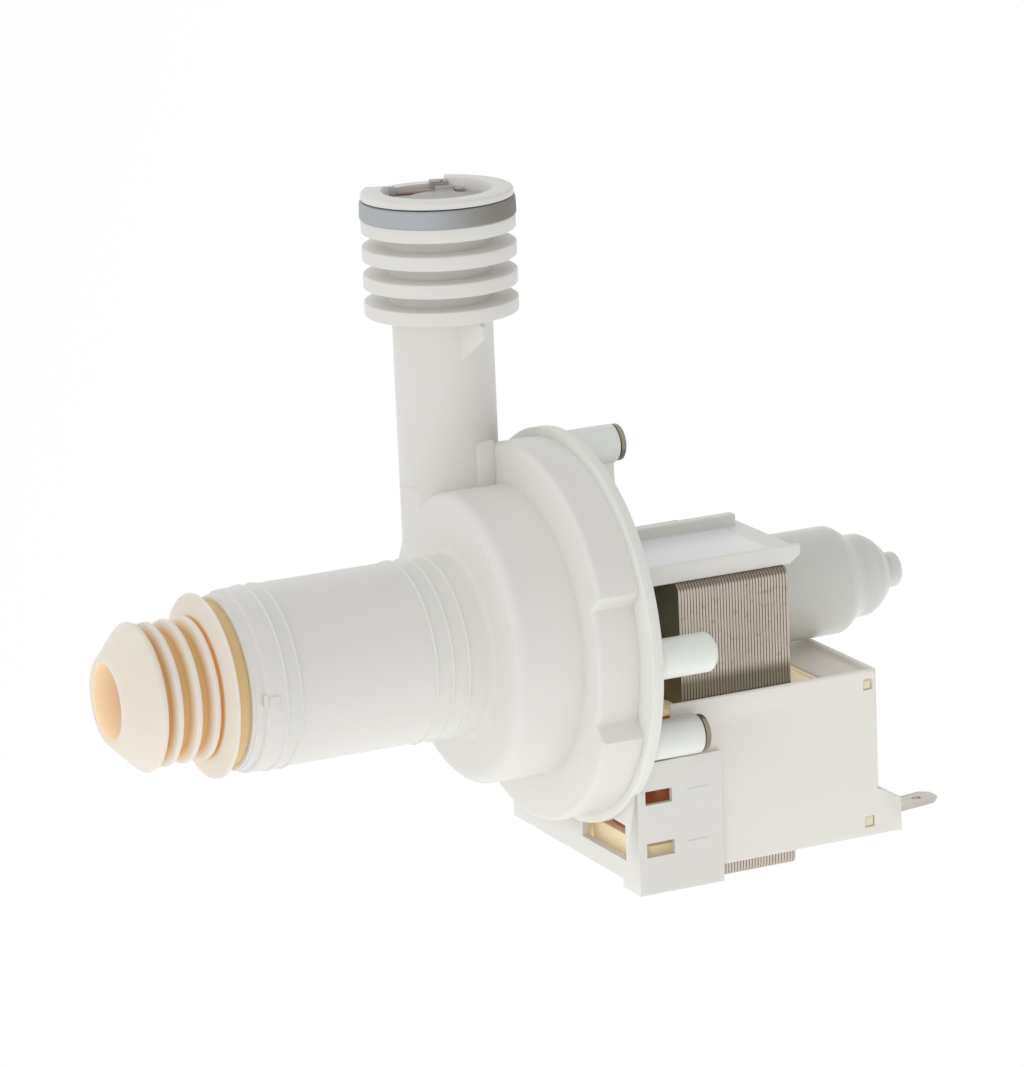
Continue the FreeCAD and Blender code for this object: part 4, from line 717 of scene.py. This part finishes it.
def stackTree(name):
    tree, given, result = newGrowth(name, [
        ("Sheet", "Object"), ("Count", "Int", 10), ("Pitch", "Float", 0.00065), ("Start", "Vector"),
        ("Wander", "Float", 0.00003), ("Seed", "Int", 7)])
    step = addNode(tree, "ShaderNodeCombineXYZ", {"X": given["Pitch"]})
    line = addNode(tree, "GeometryNodeMeshLine", {
        "Count": given["Count"], "Start Location": given["Start"], "Offset": step.outputs[0]})
    spread = addNode(tree, "ShaderNodeCombineXYZ", {"Y": given["Wander"], "Z": given["Wander"]})
    lowest = addNode(tree, "ShaderNodeVectorMath", {0: spread.outputs[0], "Scale": -1.0}, operation="SCALE")
    wander = addNode(tree, "FunctionNodeRandomValue", {
        "Min": lowest.outputs[0], "Max": (0, 0, 0), "Seed": given["Seed"]}, data_type="FLOAT_VECTOR")
    shift = addNode(tree, "GeometryNodeSetPosition", {
        "Geometry": line.outputs["Mesh"], "Offset": wander.outputs["Value"]})
    sheet = addNode(tree, "GeometryNodeObjectInfo", {"Object": given["Sheet"]})
    placed = addNode(tree, "GeometryNodeInstanceOnPoints", {
        "Points": shift.outputs[0], "Instance": sheet.outputs["Geometry"]})
    return endGrowth(tree, placed.outputs[0], given, result)


def runTree(name, tree, values, points=()):
    mesh = bpy.data.meshes.new(name)
    mesh.from_pydata(points, [], [])
    holder = linkPiece(name, mesh)
    step = holder.modifiers.new("grow", "NODES")
    step.node_group = tree
    for item in tree.interface.items_tree:
        if item.in_out == "INPUT" and item.name in values:
            step[item.identifier] = values[item.name]
    return applyModifiers(holder)


sheetTree = stackTree("sheetStack")
for name, makeSheet, node in (("poleStack", makePoleSheet, "pole_stack"),
                              ("yokeStack", makeYokeSheet, "yoke_stack")):
    sheet = makeSheet()
    stack = runTree(name, sheetTree, {
        "Sheet": sheet, "Count": core["count"], "Pitch": core["sheet"] * mm, "Wander": core["wander"] * mm,
        "Start": ((core["start"] + core["gap"] / 2) * mm, 0.0, 0.0), "Seed": 7,
        "Finish": materials["laminationSteel"]})
    bpy.data.objects.remove(sheet)
    finishPiece(stack, materials["laminationSteel"], "housing", (node,), sharp=20)

# pieces that keep the CAD shape: piece, CAD node, rounding of its edges, look, slot and body
copies = (
    ("motorFlange", "motor_flange", 0.35, "flangeMoulding", "white_moulding", "housing"),
    ("coilBracket", "coil_bracket", 0.0, "whiteMoulding", "white_moulding", "housing"),
    ("coreCap", "core_cap", 0.25, "whiteMoulding", "white_moulding", "housing"),
    ("coilCover", "coil_cover", 0.25, "warmCover", "warm_cover", "housing"),
    ("terminalCarrier", "terminal_carrier", 0.2, "carrierPlastic", "bobbin_plastic", "housing"),
    ("valveSeat", "valve_seat", 0.12, "valvePlastic", "valve_plastic", "housing"),
    ("valveFlap", "valve_flap", 0.12, "valvePlastic", "valve_plastic", "valve"),
    ("bobbinNear", "bobbin_near", 0.2, "bobbinPlastic", "bobbin_plastic", "housing"),
    ("bobbinFar", "bobbin_far", 0.2, "bobbinPlastic", "bobbin_plastic", "housing"),
    ("spadeTerminalNear", "spade_terminal_near", 0.12, "tinnedTerminal", "tinned_terminal", "housing"),
    ("spadeTerminalFar", "spade_terminal_far", 0.12, "tinnedTerminal", "tinned_terminal", "housing"),
    ("bearingHolder", "bearing_holder", 0.15, "rotorPlastic", "rotor_plastic", "housing"),
    ("frontBearing", "front_bearing", 0.12, "bearingPlastic", "bearing_plastic", "housing"),
    ("rearBearing", "rear_bearing", 0.12, "bearingPlastic", "bearing_plastic", "housing"),
    ("rotorShaft", "rotor_shaft", 0.08, "polishedShaft", "polished_shaft", "rotor"),
    ("rotorCore", "rotor_core", 0.15, "rotorPlastic", "rotor_plastic", "rotor"),
    ("rotorMagnet", "rotor_magnet", 0.2, "ferrite", "ferrite", "rotor"),
    ("driveDog", "drive_dog", 0.12, "rotorPlastic", "rotor_plastic", "rotor"),
    ("impellerClip", "impeller_clip", 0.08, "zincScrew", "zinc_screw", "rotor"),
    ("pumpImpeller", "impeller", 0.15, "rotorPlastic", "rotor_plastic", "impeller"),
)

# the seat's key is one block, its ear by the pin ends low, and the near bobbin's lip fills the lower window
changes = {
    "valveSeat": (("keyFill", (1.9, 10.6, 84.6), (2.9, 11.9, 85.33), hinge, "UNION"),
                  ("earCut", (4.4, 6.0, 84.15), (6.5, 9.2, 86), hinge, "DIFFERENCE")),
    "bobbinNear": (("lip", (drumFace + 30.9, -25.38, -44.8), (drumFace + 33.6, -24.6, -39.8), None,
                    "UNION"),),
}
for name, node, width, look, slot, body in copies:
    piece = cadCopy(name, node, width)
    for title, low, high, turn, operation in changes.get(name, ()):
        combine(piece, [slab(title, low, high, turn)], operation)
    finishPiece(piece, materials[look], body, (node,), sharp=40 if width else 12)

# rubber rings inside: CAD node, place along the axis, radius and half thickness
rubberRings = {"housingORing": ("housing_o_ring", 92.5, 27.8, 1.2),
               "canORing": ("can_o_ring", 91.8, 14.0, 0.7)}
for name, (node, x, major, minor) in rubberRings.items():
    section = [(x + minor * math.cos(a), major + minor * math.sin(a))
               for a in [math.pi * k / 8 for k in range(16)]]
    oRing = lathe(name, section, segments=128)
    finishPiece(oRing, materials["blackRubber"], "housing", (node,))
grommet = {"low": 158.1, "high": 163.9, "bore": (4.1, 0.3), "outside": (6.9, 0.5)}
grommetProfile = soften([(grommet["low"], *grommet["bore"]), (grommet["low"], *grommet["outside"]),
                         (grommet["high"], *grommet["outside"]), (grommet["high"], *grommet["bore"])])
rearGrommet = lathe("rearGrommet", grommetProfile)
finishPiece(rearGrommet, materials["blackRubber"], "housing", ("rear_bearing_grommet",))

# flange screws, one screw set on three points
screw = {"ring": 34.6, "degrees": (87.5, 208.8, 331.2), "tip": 88.9, "tipLength": 0.8, "shank": 1.6,
         "seat": 109.25, "shadowGap": 0.16, "neck": 3.1, "head": 3.65, "headHeight": 1.4, "dome": 2.5,
         "recess": (1.9, 0.35, 0.6), "turn": 1.5}


def makeScrew():
    seat, top, neck, head = screw["seat"], screw["seat"] + screw["headHeight"], screw["neck"], screw["head"]
    under = seat + screw["shadowGap"]
    profile = soften([(screw["tip"], 0), (screw["tip"] + screw["tipLength"], screw["shank"]),
                      (seat, screw["shank"]), (seat, neck), (under, neck), (under, head, 0.1),
                      (top - 0.1, head, 0.5), (top, screw["dome"], 0.6), (top, 0)])
    body = lathe("screw", profile, segments=72)
    half, thin, deep = screw["recess"]
    cross = [slab("recess", (top - deep, -y, -z), (top + 1, y, z)) for y, z in ((half, thin), (thin, half))]
    return combine(body, cross, "DIFFERENCE")


def screwTree(name):
    tree, given, result = newGrowth(name, [("Screw", "Object"), ("Turn", "Float"), ("Seed", "Int")])
    turn = addNode(tree, "FunctionNodeRandomValue", {
        3: given["Turn"], "Seed": given["Seed"]}, data_type="FLOAT")
    rotation = addNode(tree, "ShaderNodeCombineXYZ", {"X": turn.outputs[1]})
    single = addNode(tree, "GeometryNodeObjectInfo", {"Object": given["Screw"]})
    placed = addNode(tree, "GeometryNodeInstanceOnPoints", {
        "Points": given["Geometry"], "Instance": single.outputs["Geometry"], "Rotation": rotation.outputs[0]})
    return endGrowth(tree, placed.outputs[0], given, result)


single = makeScrew()
spots = [(0.0, screw["ring"] * math.cos(math.radians(d)) * mm, screw["ring"] * math.sin(math.radians(d)) * mm)
         for d in screw["degrees"]]
screws = runTree("flangeScrews", screwTree("screwSet"), {
    "Screw": single, "Turn": screw["turn"], "Seed": 4, "Finish": materials["zincScrew"]}, spots)
bpy.data.objects.remove(single)
finishPiece(screws, materials["zincScrew"], "housing",
            ("flange_screw_top", "flange_screw_near", "flange_screw_far"))

# windings, wire laid turn by turn round each bobbin
coil = {"middle": (120.2, -14.05), "half": (18.9, 10.95), "low": -39.4, "high": -13.8, "turns": 57,
        "steps": 32, "wire": 0.23, "squareness": 0.34, "tube": (107.4, 133.35, -20.45, -7.95), "below": 1.4}


def wireTree(name):
    tree, given, result = newGrowth(name, [
        ("Turns", "Int"), ("Steps", "Int"), ("Half Length", "Float"), ("Half Width", "Float"),
        ("Middle", "Vector"), ("Pitch", "Float"), ("Wire", "Float"), ("Squareness", "Float")])
    count = mathNode(tree, "MULTIPLY", given["Turns"], given["Steps"])
    line = addNode(tree, "GeometryNodeMeshLine", {"Count": count})
    index = tree.nodes.new("GeometryNodeInputIndex").outputs[0]
    turnsDone = mathNode(tree, "DIVIDE", index, given["Steps"])
    angle = mathNode(tree, "MULTIPLY", turnsDone, 2 * math.pi)
    spot = {"Z": mathNode(tree, "MULTIPLY", turnsDone, given["Pitch"])}
    for axis, operation, reach in (("X", "COSINE", "Half Length"), ("Y", "SINE", "Half Width")):
        wave = mathNode(tree, operation, angle)
        size = mathNode(tree, "POWER", mathNode(tree, "ABSOLUTE", wave), given["Squareness"])
        square = mathNode(tree, "MULTIPLY", mathNode(tree, "SIGN", wave), size)
        spot[axis] = mathNode(tree, "MULTIPLY", square, given[reach])
    place = addNode(tree, "ShaderNodeCombineXYZ", spot)
    path = addNode(tree, "ShaderNodeVectorMath", {0: place.outputs[0], 1: given["Middle"]})
    laid = addNode(tree, "GeometryNodeSetPosition", {
        "Geometry": line.outputs["Mesh"], "Position": path.outputs["Vector"]})
    curve = addNode(tree, "GeometryNodeMeshToCurve", {0: laid.outputs[0]})
    section = addNode(tree, "GeometryNodeCurvePrimitiveCircle", {"Resolution": 6, "Radius": given["Wire"]})
    wire = addNode(tree, "GeometryNodeCurveToMesh", {
        "Curve": curve.outputs[0], "Profile Curve": section.outputs[0], "Fill Caps": True})
    return endGrowth(tree, wire.outputs[0], given, result)


def makeUnderlay(side, inset):
    # the wound block below the outermost turns
    x, y = coil["middle"]
    q = coil["squareness"]
    outline = []
    for k in range(64):
        a = 2 * math.pi * (k + 0.5) / 64
        u, v = math.cos(a), math.sin(a)
        outline.append((x + math.copysign(abs(u) ** q, u) * (coil["half"][0] - inset),
                        side * (-y + math.copysign(abs(v) ** q, v) * (coil["half"][1] - inset))))
    block = prism("underlay", outline, coil["low"] + 0.02, coil["high"] - 0.02, "Z")
    x0, x1, y0, y1 = coil["tube"]
    y0, y1 = sorted((-side * y0, -side * y1))
    return combine(block, [slab("tubeHole", (x0, y0, -45), (x1, y1, -10))], "DIFFERENCE")


windingTree = wireTree("wireTurns")
wire = coil["wire"]
for name, side, node in (("windingNear", -1, "winding_near"), ("windingFar", 1, "winding_far")):
    wound = runTree(name, windingTree, {
        "Turns": coil["turns"], "Steps": coil["steps"], "Half Length": (coil["half"][0] - wire) * mm,
        "Half Width": (coil["half"][1] - wire) * mm, "Wire": wire * mm, "Squareness": coil["squareness"],
        "Middle": (coil["middle"][0] * mm, -side * coil["middle"][1] * mm, (coil["low"] + wire) * mm),
        "Pitch": (coil["high"] - coil["low"] - 2 * wire) / coil["turns"] * mm,
        "Finish": materials["copperWire"]})
    joinPieces(wound, [makeUnderlay(side, coil["below"] * wire)])
    finishPiece(wound, materials["copperWire"], "housing", (node,), sharp=60)

# CAD nodes that stay, with their finishes
kept = {"valve_hinge_pin": "hingePin", "blank_label": "labelStock"}
for node, look in kept.items():
    mesh = cadNodes[node].data
    if mesh.materials:
        mesh.materials[0] = materials[look]
    else:
        mesh.materials.append(materials[look])
print("CAD nodes finished:", len(kept))

# floor, world, lamps and camera
studio = {"leftward": (-0.904, 0.428, 0.0), "worldBase": 0.83, "worldLeft": 0.62, "worldUp": 0.22,
          "worldMost": 1.06, "floorSize": 3.0, "floorZ": -48.35, "floorTone": 0.5, "floorGlow": 0.63,
          "floorLeft": -0.2, "floorReach": 0.15, "whiteShare": 0.9, "middle": (0.085, 0.0, 0.0),
          "lamps": {"keyLamp": ((-1.1, -0.35, 0.5), 0.8, 0.8), "topLamp": ((0.0, -0.1, 1.1), 0.9, 0.3)}}
leftward = Vector(studio["leftward"])
white = (1, 1, 1, 1)


def whiteForCamera(tree, shader, kind, share=1.0):
    # white where the camera sees it at once, in a mirror or through glass
    path = tree.nodes.new("ShaderNodeLightPath").outputs
    seen = mathNode(tree, "MAXIMUM", path["Is Camera Ray"], path["Is Glossy Ray"])
    seen = mathNode(tree, "MAXIMUM", seen, path["Is Transmission Ray"])
    plain = addNode(tree, kind, {"Color": white, "Strength": 1.0})
    amount = mathNode(tree, "MULTIPLY", seen, share)
    return addNode(tree, "ShaderNodeMixShader", {0: amount, 1: shader, 2: plain.outputs[0]}).outputs[0]


def makeFloor():
    bm = bmesh.new()
    bmesh.ops.create_grid(bm, x_segments=1, y_segments=1, size=studio["floorSize"])
    floor = pieceFromBmesh("studioFloor", bm)
    for v in floor.data.vertices:
        v.co.z = studio["floorZ"] * mm
    floor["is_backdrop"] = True
    material = bpy.data.materials.new("paleFloor")
    material.use_nodes = True
    tree = material.node_tree
    paint = tree.nodes["Principled BSDF"]
    paint.inputs["Base Color"].default_value = (studio["floorTone"],) * 3 + (1,)
    paint.inputs["Roughness"].default_value = 0.9
    paint.inputs["Emission Color"].default_value = white
    place = tree.nodes.new("ShaderNodeTexCoord").outputs["Object"]
    side = dotNode(tree, place, leftward / studio["floorReach"])
    side = mathNode(tree, "MAXIMUM", mathNode(tree, "MINIMUM", side, 1.0), -1.0)
    lift = mathNode(tree, "ADD", mathNode(tree, "MULTIPLY", side, studio["floorLeft"]), studio["floorGlow"])
    tree.links.new(lift, paint.inputs["Emission Strength"])
    shown = whiteForCamera(tree, paint.outputs[0], "ShaderNodeEmission", studio["whiteShare"])
    tree.links.new(shown, tree.nodes["Material Output"].inputs["Surface"])
    floor.data.materials.append(material)


def makeWorld():
    world = bpy.data.worlds.new("studioWorld")
    bpy.context.scene.world = world
    world.use_nodes = True
    tree = world.node_tree
    tree.nodes.clear()
    direction = tree.nodes.new("ShaderNodeTexCoord").outputs["Generated"]
    tilt = leftward * studio["worldLeft"] + Vector((0, 0, studio["worldUp"]))
    level = mathNode(tree, "ADD", dotNode(tree, direction, tilt), studio["worldBase"])
    level = mathNode(tree, "MINIMUM", level, studio["worldMost"])
    light = addNode(tree, "ShaderNodeBackground", {"Strength": level})
    shown = whiteForCamera(tree, light.outputs[0], "ShaderNodeBackground")
    addNode(tree, "ShaderNodeOutputWorld", {"Surface": shown})


def addLamp(name, place, size, power):
    data = bpy.data.lights.new(name, "AREA")
    data.shape = "SQUARE"
    data.size = size
    data.energy = power
    lamp = bpy.data.objects.new(name, data)
    bpy.context.scene.collection.objects.link(lamp)
    lamp.location = place
    lamp.rotation_mode = "QUATERNION"
    lamp.rotation_quaternion = (Vector(studio["middle"]) - Vector(place)).to_track_quat("-Z", "Y")


makeFloor()
makeWorld()
for name, (place, size, power) in studio["lamps"].items():
    addLamp(name, place, size, power)

cameraLook = {"place": (-0.34297, -0.90657, 0.27937), "heading": 25.32, "tilt": 14.50, "roll": -2.416,
              "lens": 180.26, "sensor": 36.0, "clip": (0.05, 20.0)}


def addCamera():
    data = bpy.data.cameras.new("photoCamera")
    data.sensor_fit = "AUTO"
    data.sensor_width = cameraLook["sensor"]
    data.lens = cameraLook["lens"]
    data.clip_start, data.clip_end = cameraLook["clip"]
    camera = bpy.data.objects.new("photoCamera", data)
    bpy.context.scene.collection.objects.link(camera)
    heading, tilt, roll = (math.radians(cameraLook[k]) for k in ("heading", "tilt", "roll"))
    level = math.cos(tilt)
    forward = Vector((math.sin(heading) * level, math.cos(heading) * level, -math.sin(tilt)))
    right = Vector((math.cos(heading), -math.sin(heading), 0))
    up = right.cross(forward)
    rolledRight = right * math.cos(roll) + up * math.sin(roll)
    rolledUp = up * math.cos(roll) - right * math.sin(roll)
    turn = Matrix((rolledRight, rolledUp, -forward)).transposed().to_4x4()
    camera.matrix_world = Matrix.Translation(cameraLook["place"]) @ turn
    bpy.context.scene.camera = camera


addCamera()
bpy.context.scene.view_settings.view_transform = "Standard"
print("studio ready")

low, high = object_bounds()
